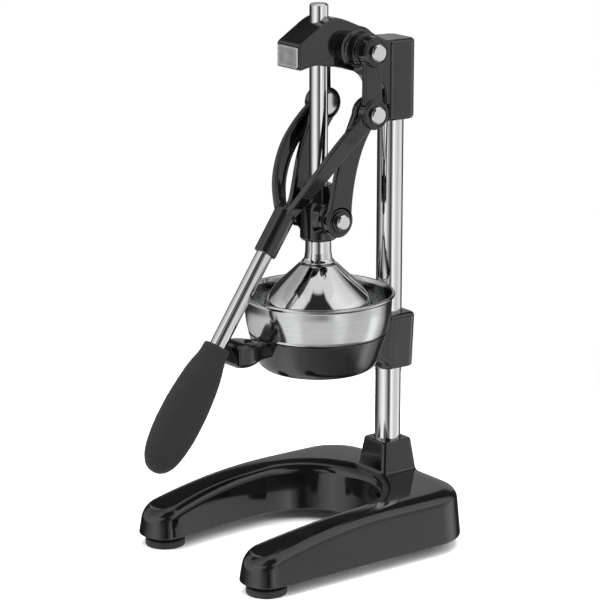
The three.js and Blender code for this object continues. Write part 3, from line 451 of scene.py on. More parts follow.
CHROME = chrome("bright_chrome", (0.74, 0.745, 0.75), (0.02, 0.04))
PIN_CHROME = chrome("pin_chrome", (0.76, 0.765, 0.77), (0.09, 0.14))

# %% [markdown]
# ### Spun steel
# Bowl and bell are spun from sheet, and the tool leaves fine lines round their axis. Anisotropy could
# fake them, but only from far off. Here a noise is read from radius, angle and height, with the angle
# slowed down so much that every speck is drawn out into a line. The bell is polished after that.

# %% Steel of the bowl and of the bell
LINES_PER_METRE = 2600
ANGLE_SLOWED = 0.0006


def rings_about(tree, place):
    """Fine lines that run round the Z axis at a place, as a lathe or a brush leaves them."""
    parts = add(tree, "ShaderNodeSeparateXYZ", None, {0: centred(tree, place)})
    square = [math_node(tree, "POWER", parts.outputs[k], 2.0) for k in (0, 1)]
    radius = math_node(tree, "SQRT", math_node(tree, "ADD", *square))
    angle = math_node(tree, "ARCTAN2", parts.outputs[1], parts.outputs[0])
    slow = math_node(tree, "MULTIPLY", angle, ANGLE_SLOWED)
    return noise(tree, vector_node(tree, radius, slow, parts.outputs[2]), LINES_PER_METRE, 3.0, 0.6)


def spun_steel(name, colour, rough, line_depth):
    """Spun or brushed steel whose lines run round the bowl's axis."""
    material, tree = new_finish(name, metallic=1.0)
    lines = rings_about(tree, (0, -REACH, 0))
    cloud = noise(tree, centred(tree), 40, 3.0)
    colours = tint(tree, lines, dulled(colour, 0.88), colour)
    return dress(material, colours, spread(tree, cloud, *rough), [(lines, line_depth, 0.5)])


BRUSHED = spun_steel("brushed_steel", (0.56, 0.565, 0.57), (0.1, 0.16), 0.02)
POLISHED = spun_steel("polished_steel", (0.72, 0.725, 0.73), (0.03, 0.05), 0.002)

# %% [markdown]
# ### Zinc, rubber and foam
# The small finishes differ in what breaks up their light: zinc has a crystal speckle, rubber a fine
# grain, the grip's foam a coarser one that is nearly matt. Two recipes serve them all, one for metals
# and one for soft stuff, because only their colours and the sizes of their grain differ.

# %% Zinc, rubber, grip, plate and bush
def plain_metal(name, colour, rough):
    material, tree = new_finish(name, metallic=1.0)
    here = centred(tree)
    speckle = noise(tree, here, 900, 3.0)
    colours = tint(tree, speckle, dulled(colour, 0.8), colour)
    return dress(material, colours, spread(tree, noise(tree, here, 120), *rough), [(speckle, 0.02, 0.3)])


def soft_material(name, dark, light, rough, per_metre, depth, sheen):
    """Rubber or foam: a matt body with a fine grain, and a little sheen that catches light at its edge."""
    material, tree = new_finish(name, metallic=0.0, sheen_weight=sheen, sheen_roughness=0.5)
    here = centred(tree)
    grain = noise(tree, here, per_metre, 4.0, 0.65)
    cloud = noise(tree, here, 45, 3.0)
    layers = [(cloud, 0.2, 0.2), (grain, depth, 0.6)]
    return dress(material, tint(tree, grain, dark, light), spread(tree, cloud, *rough), layers)


RUBBER_DARK, RUBBER_LIGHT = (0.006, 0.006, 0.006), (0.012, 0.012, 0.012)
FOAM_DARK, FOAM_LIGHT = (0.006, 0.006, 0.0065), (0.011, 0.011, 0.012)
BUSH_DARK, BUSH_LIGHT = (0.6, 0.58, 0.53), (0.7, 0.68, 0.63)
ZINC = plain_metal("zinc_plate", (0.5, 0.51, 0.52), (0.28, 0.4))
SATIN_PLATE = plain_metal("satin_plate", (0.86, 0.86, 0.85), (0.3, 0.38))
RUBBER = soft_material("foot_rubber", RUBBER_DARK, RUBBER_LIGHT, (0.5, 0.65), 1400, 0.05, 0.02)
GRIP_FOAM = soft_material("grip_foam", FOAM_DARK, FOAM_LIGHT, (0.75, 0.9), 1500, 0.12, 0.03)
BUSH = soft_material("bush_plastic", BUSH_DARK, BUSH_LIGHT, (0.4, 0.5), 700, 0.01, 0.0)

# %% [markdown]
# ## Base
# The base is one casting, a U with two legs that taper down to round tips, hollow below. Its shape is a
# rule: a cross-section like a loaf, carried from one tip round the back to the other. So the stations
# along the U are worked out once, each with its outer edge, its inner edge and its crest, and the same
# section is set on each of them. At a tip the two edges meet and the skin closes by itself.

# %% Base stations
base_low, base_high = span("base")
BASE_HALF = base_high.x
BASE_FLOOR = base_low.z
BOSS_TOP = base_high.z
BASE_REAR = base_high.y
TIP_RADIUS = 20.5
TIP_Y = base_low.y + TIP_RADIUS
TIP_X = BASE_HALF - TIP_RADIUS
MOUTH_HALF = TIP_X - TIP_RADIUS
ARCH_RADIUS = 52.5
ARCH_Y = -79.5
CORNER_RADIUS = 38
BASE_TOP = 47
CREST_DROP = 12.5
CREST_START = -60
DRAFT = 3.5
SHOULDER = 9
FLATNESS = 4.4
FLOOR_LIP = 1.2
WALL = 6
ROOF_EXTRA = 0.5


def crest_height(y):
    share = max(0, (CREST_START - y) / (CREST_START - TIP_Y))
    return BASE_TOP - CREST_DROP * share * share


def outer_edge(share):
    """A point on the outer edge from the leg to the middle of the back, and the way into the metal."""
    straight = BASE_REAR - CORNER_RADIUS - ARCH_Y
    arc, back = math.pi / 2 * CORNER_RADIUS, BASE_HALF - CORNER_RADIUS
    travel = share * (straight + arc + back)
    if travel <= straight:
        return Vector((BASE_HALF, ARCH_Y + travel)), Vector((-1, 0))
    if travel <= straight + arc:
        angle = (travel - straight) / CORNER_RADIUS
        way = Vector((math.cos(angle), math.sin(angle)))
        return Vector((back, BASE_REAR - CORNER_RADIUS)) + way * CORNER_RADIUS, -way
    return Vector((back - (travel - straight - arc), BASE_REAR)), Vector((0, -1))


def half_stations(tip_steps=18, leg_steps=22, bridge_steps=56):
    """Stations from a leg's tip to the middle of the back: both edges, both ways in, and the crest."""
    stations = []
    tip = Vector((TIP_X, TIP_Y))
    for n in range(tip_steps):
        angle = -math.pi / 2 * (1 - n / tip_steps)
        out = Vector((math.cos(angle), math.sin(angle)))
        back = Vector((-out.x, out.y))
        stations.append((tip + out * TIP_RADIUS, -out, tip + back * TIP_RADIUS, -back, tip))
    for n in range(leg_steps):
        share = n / leg_steps
        y = TIP_Y + share * (ARCH_Y - TIP_Y)
        inner_x = MOUTH_HALF + (ARCH_RADIUS - MOUTH_HALF) * (1 - (1 - share) ** 2)
        outer, inner = Vector((BASE_HALF, y)), Vector((inner_x, y))
        stations.append((outer, Vector((-1, 0)), inner, Vector((1, 0)), (outer + inner) / 2))
    for n in range(bridge_steps + 1):
        outer, inward = outer_edge(n / bridge_steps)
        angle = math.pi / 2 * n / bridge_steps
        way = Vector((math.cos(angle), math.sin(angle)))
        inner = Vector((0, ARCH_Y)) + way * ARCH_RADIUS
        stations.append((outer, inward, inner, way, (outer + inner) / 2))
    return stations


right_half = half_stations()
left_half = [tuple(Vector((-v.x, v.y)) for v in station) for station in right_half[-2::-1]]
STATIONS = right_half + left_half
print("base stations:", len(STATIONS))

# %% [markdown]
# ### The section of the base
# A real leg has a leaning wall, a tight shoulder and a nearly flat top. The shoulder is a superellipse,
# so a single number, its flatness, sets how square it looks. The section is drawn from each edge to the
# crest, and back through the hollow, which has an even wall.

# %% Base section
def side_points(edge, inward, crest, depths):
    """Points from an edge to the crest: depth is how far in, as a share of the way, and a height."""
    half = (crest - edge).length
    points = []
    for depth, height in depths(half, crest_height(edge.y)):
        share = min(1, depth / half) if half else 1
        straight, bent = edge + inward * depth, edge.lerp(crest, share)
        p = straight.lerp(bent, share * share)
        points.append((p.x, p.y, height(p.y)))
    return points


def outer_depths(half, edge_crest, steps=18):
    """The outside: a small round at the floor, a leaning wall, a tight shoulder and a nearly flat top."""
    tall = edge_crest - BASE_FLOOR
    lean = DRAFT / tall
    line = [(FLOOR_LIP, 0), (FLOOR_LIP / 4, FLOOR_LIP / 4), (lean * FLOOR_LIP, FLOOR_LIP)]
    power = 2 / (FLATNESS * half / TIP_RADIUS)
    for n in range(steps + 1):
        angle = math.pi / 2 * n / steps
        height = tall - SHOULDER * (1 - math.sin(angle))
        inner = 1 - max(0, math.cos(angle)) ** power if n < steps else 1
        line.append((lean * height + inner * (half - lean * height), height))
    for depth, height in line:
        yield depth, lambda y, h=height: BASE_FLOOR + h + h / tall * (crest_height(y) - edge_crest)


def hollow_depths(half, edge_crest):
    """The inside, from the crest down to the rim."""
    roof = WALL + ROOF_EXTRA
    wall = min(WALL, half)
    for share, drop in [(1, roof), (0.45, roof), (0.2, roof + 1.2), (0.1, roof + 4)]:
        yield wall + (half - wall) * share, lambda y, drop=drop: crest_height(y) - drop
    yield wall, lambda y: BASE_FLOOR


def base_ring(station):
    outer, outer_in, inner, inner_in, crest = station
    right = side_points(outer, outer_in, crest, outer_depths)
    left = side_points(inner, inner_in, crest, outer_depths)[-2::-1]
    hollow_left = side_points(inner, inner_in, crest, hollow_depths)[::-1]
    hollow_right = side_points(outer, outer_in, crest, hollow_depths)[1:]
    return right + left + hollow_left + hollow_right


base_shell = skin([base_ring(station) for station in STATIONS])
print("points round a base section:", len(base_ring(STATIONS[30])))

# %% [markdown]
# ## Column boss
# The column stands in a square boss that grows out of the casting with a hollow round at its foot. The
# round has to follow the crowned top, so each of its points is dropped on the skin with a ray first.

# %% Boss, pads and the base itself
BOSS_TOP_HALF = 14
BOSS_FOOT_HALF = 16.6
BOSS_CORNER = 4
BOSS_EDGE = 1.7
BOSS_ROUND = 3.4
BOSS_STEPS = 6
BORE_EDGE = 0.6
PAD_STEPS = 32
FOOT_PAD = 10.5
COLUMN_PAD = 17
skin_below = BVHTree.FromPolygons(*base_shell)


def ground(x, y):
    hit = skin_below.ray_cast(Vector((x, y, BOSS_TOP + WALL)), Vector((0, 0, -1)))[0]
    return hit.z if hit else BASE_FLOOR


def boss_part():
    rings = []
    for n in range(-1, BOSS_STEPS + 1):
        angle = math.pi / 2 * max(n, 0) / BOSS_STEPS
        away, up = BOSS_ROUND * (1 - math.sin(angle)), BOSS_ROUND * (1 - math.cos(angle))
        if n < 0:
            away, up = BOSS_ROUND + 0.5, -0.6
        ring = rounded_square(BOSS_FOOT_HALF + away, BOSS_FOOT_HALF + away, BOSS_CORNER + away)
        low = BOSS_FOOT_HALF + 0.25 * away
        ring = [Vector((p.x, min(p.y, low))) for p in ring]
        rings.append([(p.x, p.y, ground(p.x, p.y) + up) for p in ring])
    for n in range(BOSS_STEPS + 1):
        angle = math.pi / 2 * n / BOSS_STEPS
        half = BOSS_TOP_HALF - BOSS_EDGE * (1 - math.cos(angle))
        height = BOSS_TOP - BOSS_EDGE * (1 - math.sin(angle))
        rings.append([(p.x, p.y, height) for p in rounded_square(half, half, BOSS_CORNER)])
    bore = COLUMN_RADIUS + GAP
    mouth = [(BOSS_TOP, bore + BORE_EDGE), (BOSS_TOP - BORE_EDGE, bore)]
    for height, radius in [*mouth, (BASE_FLOOR + WALL, bore)]:
        rings.append([(*(p.xy.normalized() * radius), height) for p in map(Vector, rings[-1])])
    return skin(rings, loop=True)


def pad_part(x, y, radius, bore):
    """A post inside the hollow that takes a screw."""
    top = crest_height(y) - WALL / 2
    profile = [(bore, BASE_FLOOR), (radius, BASE_FLOOR, 0.8), (radius * 1.12, top), (bore, top)]
    return shifted(turned(soften(profile, closed=True), PAD_STEPS, loop=True), x, y)


FEET = [centre(f"foot_{k}") for k in (1, 2, 3, 4)]
SCREW_RADIUS = 2.6
pads = [pad_part(foot.x, foot.y, FOOT_PAD, SCREW_RADIUS + GAP) for foot in FEET]
pads.append(pad_part(0, 0, COLUMN_PAD, PIN_BORE))
piece("base_casting", [base_shell, boss_part(), *pads], ["base"], ENAMEL)

# %% [markdown]
# ## Column and plunger rod
# Both are plain chromed bars from a lathe. What the eye checks on such a bar is its end: a chamfer with
# a small round, never a bare edge.

# %% Bars
def bar_profile(radius, low, high, chamfer, edge=0.4):
    return soften([(0, low), (radius - chamfer, low, edge), (radius, low + chamfer, edge),
                   (radius, high - chamfer, edge), (radius - chamfer, high, edge), (0, high)])


COLUMN_CHAMFER = 1
ROD_CHAMFER = 1.3
low, high = span("column")
column_bar = turned(bar_profile(COLUMN_RADIUS, low.z, high.z, COLUMN_CHAMFER))
piece("column_bar", [column_bar], ["column"], CHROME)
low, high = span("plunger_rod")
rod_bar = on_plunger(turned(bar_profile(ROD_RADIUS, low.z, high.z, ROD_CHAMFER)))
piece("rod_bar", [rod_bar], ["plunger_rod"], CHROME)

# %% [markdown]
# ## Cup holder
# The holder is one casting: a ring that carries the bowl, a collar that clamps the column, and a thumb
# rest at the front. Sculpting it whole would make its round parts uneven. So each part is drawn by its
# own rule, sunk into its neighbour, and all are joined in one piece. The ring comes from the lathe.

# %% Holder ring
holder_low, holder_high = span("cup_holder")
HOLDER_TOP = 169.5
RING_RADIUS = holder_high.x
RING_BOTTOM = HOLDER_TOP - 29.3
RING_FOOT = 45.4
RING_WALL = 3.2
RING_FLOOR = RING_BOTTOM + RING_WALL + 1
OUTLET = 17
FLOW_STEPS = 6
RING_SLOPE = [(0, 0), (0.27, 0.3), (0.53, 0.62), (0.72, 0.88)]
RING_UNDER = [(0.84, 0.8), (0.93, 3.2), (0.983, 6.8), (1, 11)]


def ring_height(down):
    return HOLDER_TOP - down * (HOLDER_TOP - RING_BOTTOM)


def slope_points(inset=0):
    """The ring's sloping wall from the top down: shares of the drop, and shares of the way in."""
    way = RING_RADIUS - RING_FOOT
    return [(RING_RADIUS - inward * way - inset, ring_height(down)) for down, inward in RING_SLOPE]


ring_under = [(RING_FOOT - inward, ring_height(down)) for down, inward in RING_UNDER]
RING_OUTSIDE = flowing(slope_points() + ring_under, FLOW_STEPS)


def ring_part():
    inner = flowing(slope_points(RING_WALL), FLOW_STEPS)
    foot = soften([RING_OUTSIDE[-1], (OUTLET, RING_BOTTOM, 0.8), (OUTLET, RING_FLOOR, 0.8),
                   (inner[-1].x - 1.6, RING_FLOOR, 3), inner[-1]])
    edge = RING_WALL / 2.2
    rim = soften([inner[1], (inner[0].x, HOLDER_TOP, edge), (RING_OUTSIDE[0].x, HOLDER_TOP, edge),
                  RING_OUTSIDE[1]])
    return on_plunger(turned(rim + RING_OUTSIDE[2:-1] + foot + inner[-2:1:-1], loop=True))


print(f"ring: radius {RING_RADIUS:.1f} at the top, {RING_FOOT:.1f} at the foot")

# %% [markdown]
# ### Collar
# The collar is a square sleeve with round corners. It is a little wider at the top than at the bottom,
# as a casting that has to leave its mould, and its top is crowned. The same rule, a stack of rounded
# squares with a round bore inside, makes any such sleeve, so the taper and the levels are inputs.

# %% Collar
COLLAR_HALF = 17.4
COLLAR_TAPER = 2.7
COLLAR_TOP = HOLDER_TOP + 4.4
COLLAR_REAR = holder_high.y
COLLAR_FRONT = -14
COLLAR_BOTTOM = holder_low.z
COLLAR_CORNER = 7
COLLAR_EDGE = 1.4
COLLAR_CROWN = [(0, 3.4), (0.12, 2.7), (0.5, 1.75), (1.3, 0.85), (2.4, 0.25), (3.4, 0)]
BORE_CHAMFER = 0.5
EDGE_STEPS = 5


def sleeve_part(half, rear, front, corner, levels, bore, taper=0):
    """A square sleeve with round corners on a round bar. Levels are pairs of inset and height."""
    middle, deep = (rear + front) / 2, (rear - front) / 2
    bottom, top = levels[0][1], levels[-1][1]
    rings = []
    for inset, height in levels:
        narrow = taper * (top - height) / (top - bottom)
        ring = rounded_square(half - inset - narrow, deep - inset, corner - inset)
        rings.append([Vector((p.x, p.y + middle, height)) for p in ring])
    for inset, height in [(BORE_CHAMFER, top), (0, top - BORE_CHAMFER), (0, bottom + BORE_CHAMFER),
                          (BORE_CHAMFER, bottom)]:
        rings.append([Vector((*(p.xy.normalized() * (bore + inset)), height)) for p in rings[-1]])
    return skin(rings, loop=True)


def edge_levels(bottom, top, edge):
    """Insets and heights of a wall whose lower and upper edge are rounded."""
    arc = [math.pi / 2 * n / EDGE_STEPS for n in range(EDGE_STEPS + 1)]
    lower = [(edge * (1 - math.sin(a)), bottom + edge * (1 - math.cos(a))) for a in arc]
    return lower + [(inset, top - (height - bottom)) for inset, height in lower[::-1]]


lower_edge = edge_levels(COLLAR_BOTTOM, COLLAR_TOP, COLLAR_EDGE)[:EDGE_STEPS + 1]
collar_levels = lower_edge + [(inset, COLLAR_TOP - down) for inset, down in COLLAR_CROWN]
collar = sleeve_part(COLLAR_HALF, COLLAR_REAR, COLLAR_FRONT, COLLAR_CORNER, collar_levels,
                     COLUMN_RADIUS + GAP, COLLAR_TAPER)
print("faces of the collar:", len(collar[1]))

# %% [markdown]
# ### Hollow round between collar and ring
# Castings avoid sharp inner corners, because metal cracks there. A bevel can't round the joint of two
# overlapping parts, so the fillet is drawn as a stack of outlines: at each height a curve leaves the
# collar's flank and runs out on the ring's wall. Below the ring it arches back to the collar.

# %% Hollow round
GUSSET_FOOT = RING_BOTTOM + 8
GUSSET_ARCH = 17
GUSSET_ROUND = 5.5
GUSSET_LEVELS = 24
GUSSET_STEPS = 8
SUNK = 3


def ring_radius_at(height):
    """The radius of the ring's outside at a height."""
    for above, below in zip(RING_OUTSIDE, RING_OUTSIDE[1:]):
        if height >= below.y:
            return below.x + (above.x - below.x) * min(1, (height - below.y) / (above.y - below.y))
    return RING_OUTSIDE[-1].x


def gusset_part():
    """The metal between collar and ring: it hugs the ring, and below it arches back to the collar."""
    half, away = COLLAR_HALF - COLLAR_TAPER, GUSSET_ROUND
    low, top = COLLAR_BOTTOM + 1.6, HOLDER_TOP - 1.4
    rings = []
    for level in range(GUSSET_LEVELS + 1):
        height = low + (top - low) * level / GUSSET_LEVELS
        under = max(0, (GUSSET_FOOT - height) / (GUSSET_FOOT - low))
        radius = ring_radius_at(max(height, GUSSET_FOOT)) + under ** 1.5 * GUSSET_ARCH
        corner = Vector((half, -REACH + math.sqrt(radius ** 2 - half ** 2)))
        angle = math.atan2(corner.y + REACH, corner.x) - away / radius
        on_ring = Vector((radius * math.cos(angle), -REACH + radius * math.sin(angle)))
        on_flank = corner + Vector((0, max(0.5, min(away, COLLAR_FRONT + away - corner.y))))
        curve = []
        for n in range(GUSSET_STEPS + 1):
            t = n / GUSSET_STEPS
            curve.append(on_flank * (1 - t) ** 2 + corner * 2 * t * (1 - t) + on_ring * t * t)
        leaving = min(1, under * 4)
        sunk = SUNK * (1 - leaving)
        inner_x = curve[-1].lerp(on_flank, leaving).x - sunk
        half_line = [Vector((half, 0)), *curve, Vector((inner_x, curve[-1].y - sunk))]
        ring = half_line + [Vector((-p.x, p.y)) for p in half_line[::-1]]
        rings.append([(p.x, p.y, height) for p in ring])
    return skin(rings)


print("faces of the hollow round:", len(gusset_part()[1]))

# %% [markdown]
# ### Thumb rest
# The lug at the front gives a thumb something to press on while the bowl is lifted out. It is a bar that
# swells towards its tip. Rounded squares along a path make it, each as wide as a smooth curve says, and
# a last few shrink to close the tip.

# %% Thumb rest and the whole holder
REST_DROP = 6.2
REST_NECK, REST_WIDEST = 8.6, 13
REST_DEEP, REST_SWELL = 6.4, 3.1
REST_CORNER, REST_CORNER_SWELL = 3.4, 1.6
REST_TIP = 1.6
REST_TIP_SHRINK = 0.22
REST_WIDE = [(0, REST_NECK), (0.2, REST_NECK), (0.4, 9.5), (0.6, 11.7), (0.82, REST_WIDEST), (1, 12)]


def thumb_rest_part():
    root, tip = -REACH - RING_FOOT, holder_low.y + REST_TIP
    middle_height = HOLDER_TOP - REST_DROP
    rings = []
    for share, half in flowing(REST_WIDE, EDGE_STEPS):
        swell = (half - REST_NECK) / (REST_WIDEST - REST_NECK)
        ring = rounded_square(half, REST_DEEP + REST_SWELL * swell, REST_CORNER + REST_CORNER_SWELL * swell)
        rings.append([Vector((p.x, root + share * (tip - root), middle_height + p.y)) for p in ring])
    last = rings[-1]
    for n in range(1, EDGE_STEPS + 1):
        angle = math.pi / 2 * n / EDGE_STEPS
        shrink = 1 - REST_TIP_SHRINK * (1 - math.cos(angle))
        y = tip - REST_TIP * math.sin(angle)
        rings.append([Vector((p.x * shrink, y, middle_height + (p.z - middle_height) * shrink * shrink))
                      for p in last])
    return skin(rings)


holder_parts = [ring_part(), collar, gusset_part(), thumb_rest_part()]
piece("holder_casting", holder_parts, ["cup_holder"], ENAMEL)

# %% [markdown]
# ## Juice bowl
# The bowl is spun from thin sheet: a cylinder with a slight flare and a rolled rim above the holder, a
# funnel with a spout inside it. One closed outline holds both faces of the sheet, a millimetre apart.

# %% Bowl
bowl_low, bowl_high = span("juice_bowl")
SHEET = 1
MOUTH_RADIUS = 56.1
BOWL_SHOULDER = HOLDER_TOP + GAP
BOWL_FLARE = [(0, 0), (0.33, 0.56), (0.68, 0.9), (1, 1)]
RIM_TALL = 3.4
SPOUT_RADIUS = 12.5
SPUN_STEPS = 144


def bowl_profile():
    rim_radius, top, spout_end = bowl_high.x, bowl_high.z, bowl_low.z
    wall_top = top - RIM_TALL
    nest = RING_WALL + GAP

    def wall(inset):
        grow = MOUTH_RADIUS - RING_RADIUS
        points = [(RING_RADIUS + wide * grow - inset, BOWL_SHOULDER + up * (wall_top - BOWL_SHOULDER))
                  for up, wide in BOWL_FLARE]
        return flowing(points, FLOW_STEPS)

    foot_radius = RING_FOOT - nest - 1.5
    foot = RING_FLOOR + GAP
    outside = [(SPOUT_RADIUS, spout_end, 0.3), (SPOUT_RADIUS, foot - 1, 1.5), (SPOUT_RADIUS + 3, foot, 1.5),
               (foot_radius, foot + 0.6, 4), (foot_radius + 1, foot + 4, 4),
               (RING_RADIUS - nest, BOWL_SHOULDER, 0.6), (RING_RADIUS - 0.5, BOWL_SHOULDER, 0.8)]
    lip = [(MOUTH_RADIUS, wall_top, 1.2), (rim_radius - 0.5, wall_top + 0.9, 0.7),
           (rim_radius, wall_top + 1.7, 0.8), (rim_radius - 0.2, top - 0.4, 0.8),
           (rim_radius - 1, top, 0.7), (MOUTH_RADIUS - 0.2, top, 1), (MOUTH_RADIUS - SHEET, wall_top, 2)]
    inside = [(RING_RADIUS - SHEET, BOWL_SHOULDER + SHEET, 0.6),
              (RING_RADIUS - nest - SHEET, BOWL_SHOULDER + SHEET, 0.6),
              (foot_radius + 1 - SHEET, foot + 4.4, 3), (foot_radius - SHEET, foot + 1.6, 3),
              (SPOUT_RADIUS + 3 - SHEET, foot + SHEET, 1), (SPOUT_RADIUS - SHEET, foot - 1, 1),
              (SPOUT_RADIUS - SHEET, spout_end, 0.3)]
    start = soften([*outside, wall(0)[1]])[:-1]
    rim = soften([wall(0)[-2], *lip, wall(SHEET)[-2]])[1:-1]
    end = soften([wall(SHEET)[1], *inside, (SPOUT_RADIUS, spout_end)])[1:-1]
    return start + wall(0)[1:-1] + rim + wall(SHEET)[-2:0:-1] + end


piece("bowl_spun", [on_plunger(turned(bowl_profile(), SPUN_STEPS, loop=True))], ["juice_bowl"], BRUSHED)

# %% [markdown]
# ## Bell
# The bell that presses the fruit is a spun cone that bulges a little, with a flat top and an upright
# rim. It is polished like a mirror, so its outline has to flow without a kink: any would show in what it
# reflects. A smooth curve through a few points does that, where a chain of rounded corners would not.

# %% Bell
bell_low, bell_high = span("press_bell")
BELL_FLOW = [(0, 0.995), (0.056, 0.976), (0.118, 0.933), (0.21, 0.8655), (0.303, 0.797), (0.404, 0.723),
             (0.505, 0.647), (0.658, 0.527), (0.791, 0.412), (0.885, 0.318), (0.944, 0.238), (0.983, 0.142),
             (1, 0.04)]
BELL_SHOULDER = 12.6
BELL_WALL = 1.6
SPIGOT_RADIUS = 6


def bell_profile():
    rim, top, mouth = bell_high.x, bell_high.z, bell_low.z

    def cone(inset, lower):
        points = [(BELL_SHOULDER + wide * (rim - BELL_SHOULDER) - inset, mouth + up * (top - mouth) - lower)
                  for wide, up in BELL_FLOW]
        return flowing(points, FLOW_STEPS)

    outer, inner = cone(0, 0), cone(BELL_WALL, BELL_WALL / 2)
    edge = soften([outer[-2], (rim, mouth, 0.7), (rim - BELL_WALL, mouth, 0.7), inner[-3]])[1:-1]
    bore = SPIGOT_RADIUS + GAP
    crown = [Vector((bore, top - BELL_WALL)), Vector((bore, top))]
    return crown + outer[:-1] + edge + inner[-3::-1]


piece("bell_dome", [on_plunger(turned(bell_profile(), SPUN_STEPS, loop=True))], ["press_bell"], POLISHED)

# %% [markdown]
# ## Neck
# The neck is a turned post between crosshead and bell, with a spigot that goes through the bell's top
# and a hollow foot that spreads the load. One outline on the lathe gives it all, bore and spigot too.

# %% Neck
neck_low, neck_high = span("bell_neck")
NECK_TOP_RADIUS = 9.7
NECK_FOOT_RADIUS = neck_high.x


def neck_profile():
    foot = bell_high.z + GAP
    bore = ROD_RADIUS + GAP
    seat = span("plunger_rod")[0].z - GAP
    return soften([
        (0, neck_low.z), (SPIGOT_RADIUS, neck_low.z, 0.5), (SPIGOT_RADIUS, foot, 0.3),
        (NECK_FOOT_RADIUS, foot, 0.4), (NECK_FOOT_RADIUS, foot + 0.8, 0.5),
        (NECK_TOP_RADIUS + 0.9, foot + 2.6, 2.5), (NECK_TOP_RADIUS + 0.2, foot + 8, 8),
        (NECK_TOP_RADIUS, neck_high.z, 0.5), (bore, neck_high.z, 0.3), (bore, seat), (0, seat),
    ])


piece("neck_turned", [on_plunger(turned(neck_profile()))], ["bell_neck"], POLISHED)

# %% [markdown]
# ## Crosshead
# The crosshead is a sleeve on the rod with a round boss on each side, where the links turn. The bosses
# run out into the sleeve with a flare, as castings do.

# %% Crosshead
cross_low, cross_high = span("crosshead")
LINK_INNER = cross_high.x + GAP
SLEEVE_RADIUS = 13.8
CROSS_BOSS_ROOT = SLEEVE_RADIUS - 4
BOSS_TURN_STEPS = 64


def crosshead_parts():
    bottom, top, boss_end = cross_low.z, cross_high.z, cross_high.x
    bore = ROD_RADIUS + GAP
    profile = soften([
        (bore, bottom, 0.4), (SLEEVE_RADIUS, bottom, 2), (SLEEVE_RADIUS, top - 12, 8),
        (SLEEVE_RADIUS - 3, top, 1.6), (bore, top, 0.5),
    ], closed=True)
    boss = soften([
        (PIN_BORE, CROSS_BOSS_ROOT), (14.5, CROSS_BOSS_ROOT), (11.2, SLEEVE_RADIUS + 0.6, 3),
        (11, boss_end - 3.6, 0.5), (9.6, boss_end - 3.2, 0.3), (9.6, boss_end, 0.5),
        (PIN_BORE, boss_end, 0.3),
    ], closed=True)
    bosses = [on_pivot(turned(boss, BOSS_TURN_STEPS, loop=True), side, CROSS) for side in (-1, 1)]
    return [on_plunger(turned(profile, loop=True)), *bosses]


piece("crosshead_casting", crosshead_parts(), ["crosshead"], ENAMEL)

# %% [markdown]
# ## Links and fork
# Links and fork arms are flat bars with soft edges and a pocket cast into one face, which saves metal
# and shows as a raised rim; the fork plates are the same bar without a pocket. So one cross-section serves
# them all, carried along a straight, a bowed or a curved line. The round eyes on their ends come from the lathe.

# %% A bar with a pocket
FADE = 0.08
BAR_STEPS = 5
LINK_HALF = 9.2


def channel(half, thick, edge, pocket=0.0, rim=2.4):
    """Cross-section of a flat bar: its outer face is up, and the pocket is in its inner face."""
    t = thick / 2
    step = pocket * 0.8 + 0.05
    return soften([
        (-half, t, edge), (-half, -t, edge * 0.7), (-half + rim, -t, 0.4),
        (-half + rim + step, pocket - t, 0.5), (half - rim - step, pocket - t, 0.5),
        (half - rim, -t, 0.4), (half, -t, edge * 0.7), (half, t, edge),
    ], closed=True, steps=BAR_STEPS)


def eased(share, start, end):
    """0 at both ends of a bar, 1 in between, with soft steps."""
    rise = min(1, max(0, (share - start) / FADE))
    fall = min(1, max(0, (end - share) / FADE))
    return min(rise * rise * (3 - 2 * rise), fall * fall * (3 - 2 * fall))


def in_plane(x, place):
    return Vector((x, place[0], place[1]))


print("points round a bar's section:", len(channel(LINK_HALF, 5, 1)))

# %% Links
LINK_BOW = 5.2
LINK_FLARE = 0.27
LINK_EDGE = 1.7
LINK_POCKET = 1.6
LINK_RIM = 2.6
LINK_STEPS = 40
LINK_EYE = 12.3
RECESS = 8.8
LINK_THICK = span("link_right")[1].x - LINK_INNER


def link_parts(side):
    along = ELBOW - CROSS
    across = Vector((-along.y, along.x)).normalized()
    x = side * (LINK_INNER + LINK_THICK / 2)
    path = []
    for n in range(LINK_STEPS + 1):
        share = n / LINK_STEPS
        bow = LINK_BOW * math.sin(math.pi * share) * (0.7 + 0.6 * share)
        path.append(in_plane(x, CROSS + along * share + across * bow))

    def section(share):
        half = LINK_HALF * (1 + LINK_FLARE * (2 * share - 1) ** 4)
        return channel(half, LINK_THICK, LINK_EDGE, LINK_POCKET * eased(share, 0.2, 0.8), LINK_RIM)

    outer = LINK_INNER + LINK_THICK
    eye = soften([
        (PIN_BORE, LINK_INNER, 0.2), (LINK_EYE, LINK_INNER, 1.4), (LINK_EYE, outer, 1.8), (9.4, outer, 0.3),
        (9.2, outer - 0.35, 0.2), (8.4, outer - 0.35, 0.2), (8.2, outer, 0.3), (PIN_BORE, outer, 0.3),
    ], closed=True)
    upper = soften([
        (PIN_BORE, LINK_INNER + 1.2, 0.2), (RECESS, LINK_INNER + 1.2, 0.2), (RECESS, LINK_INNER, 0.3),
        (LINK_EYE, LINK_INNER, 1.4), (LINK_EYE, outer, 1.8), (PIN_BORE, outer, 0.3),
    ], closed=True)
    eyes = [on_pivot(turned(profile, BOSS_TURN_STEPS, loop=True), side, place)
            for profile, place in ((eye, CROSS), (upper, ELBOW))]
    return [swept(path, side, section), *eyes]


for name, side in (("left", -1), ("right", 1)):
    piece(f"link_{name}_casting", link_parts(side), [f"link_{name}"], ENAMEL)

# %% [markdown]
# ## Lever fork
# The fork is the press's signature: two arms leave the elbow, bow out round the head's rod and close on
# the socket of the lever. Their centre line is a smooth curve through a few places, given as shares of
# the spread, of the way forward and of the way down from the elbow to the socket.

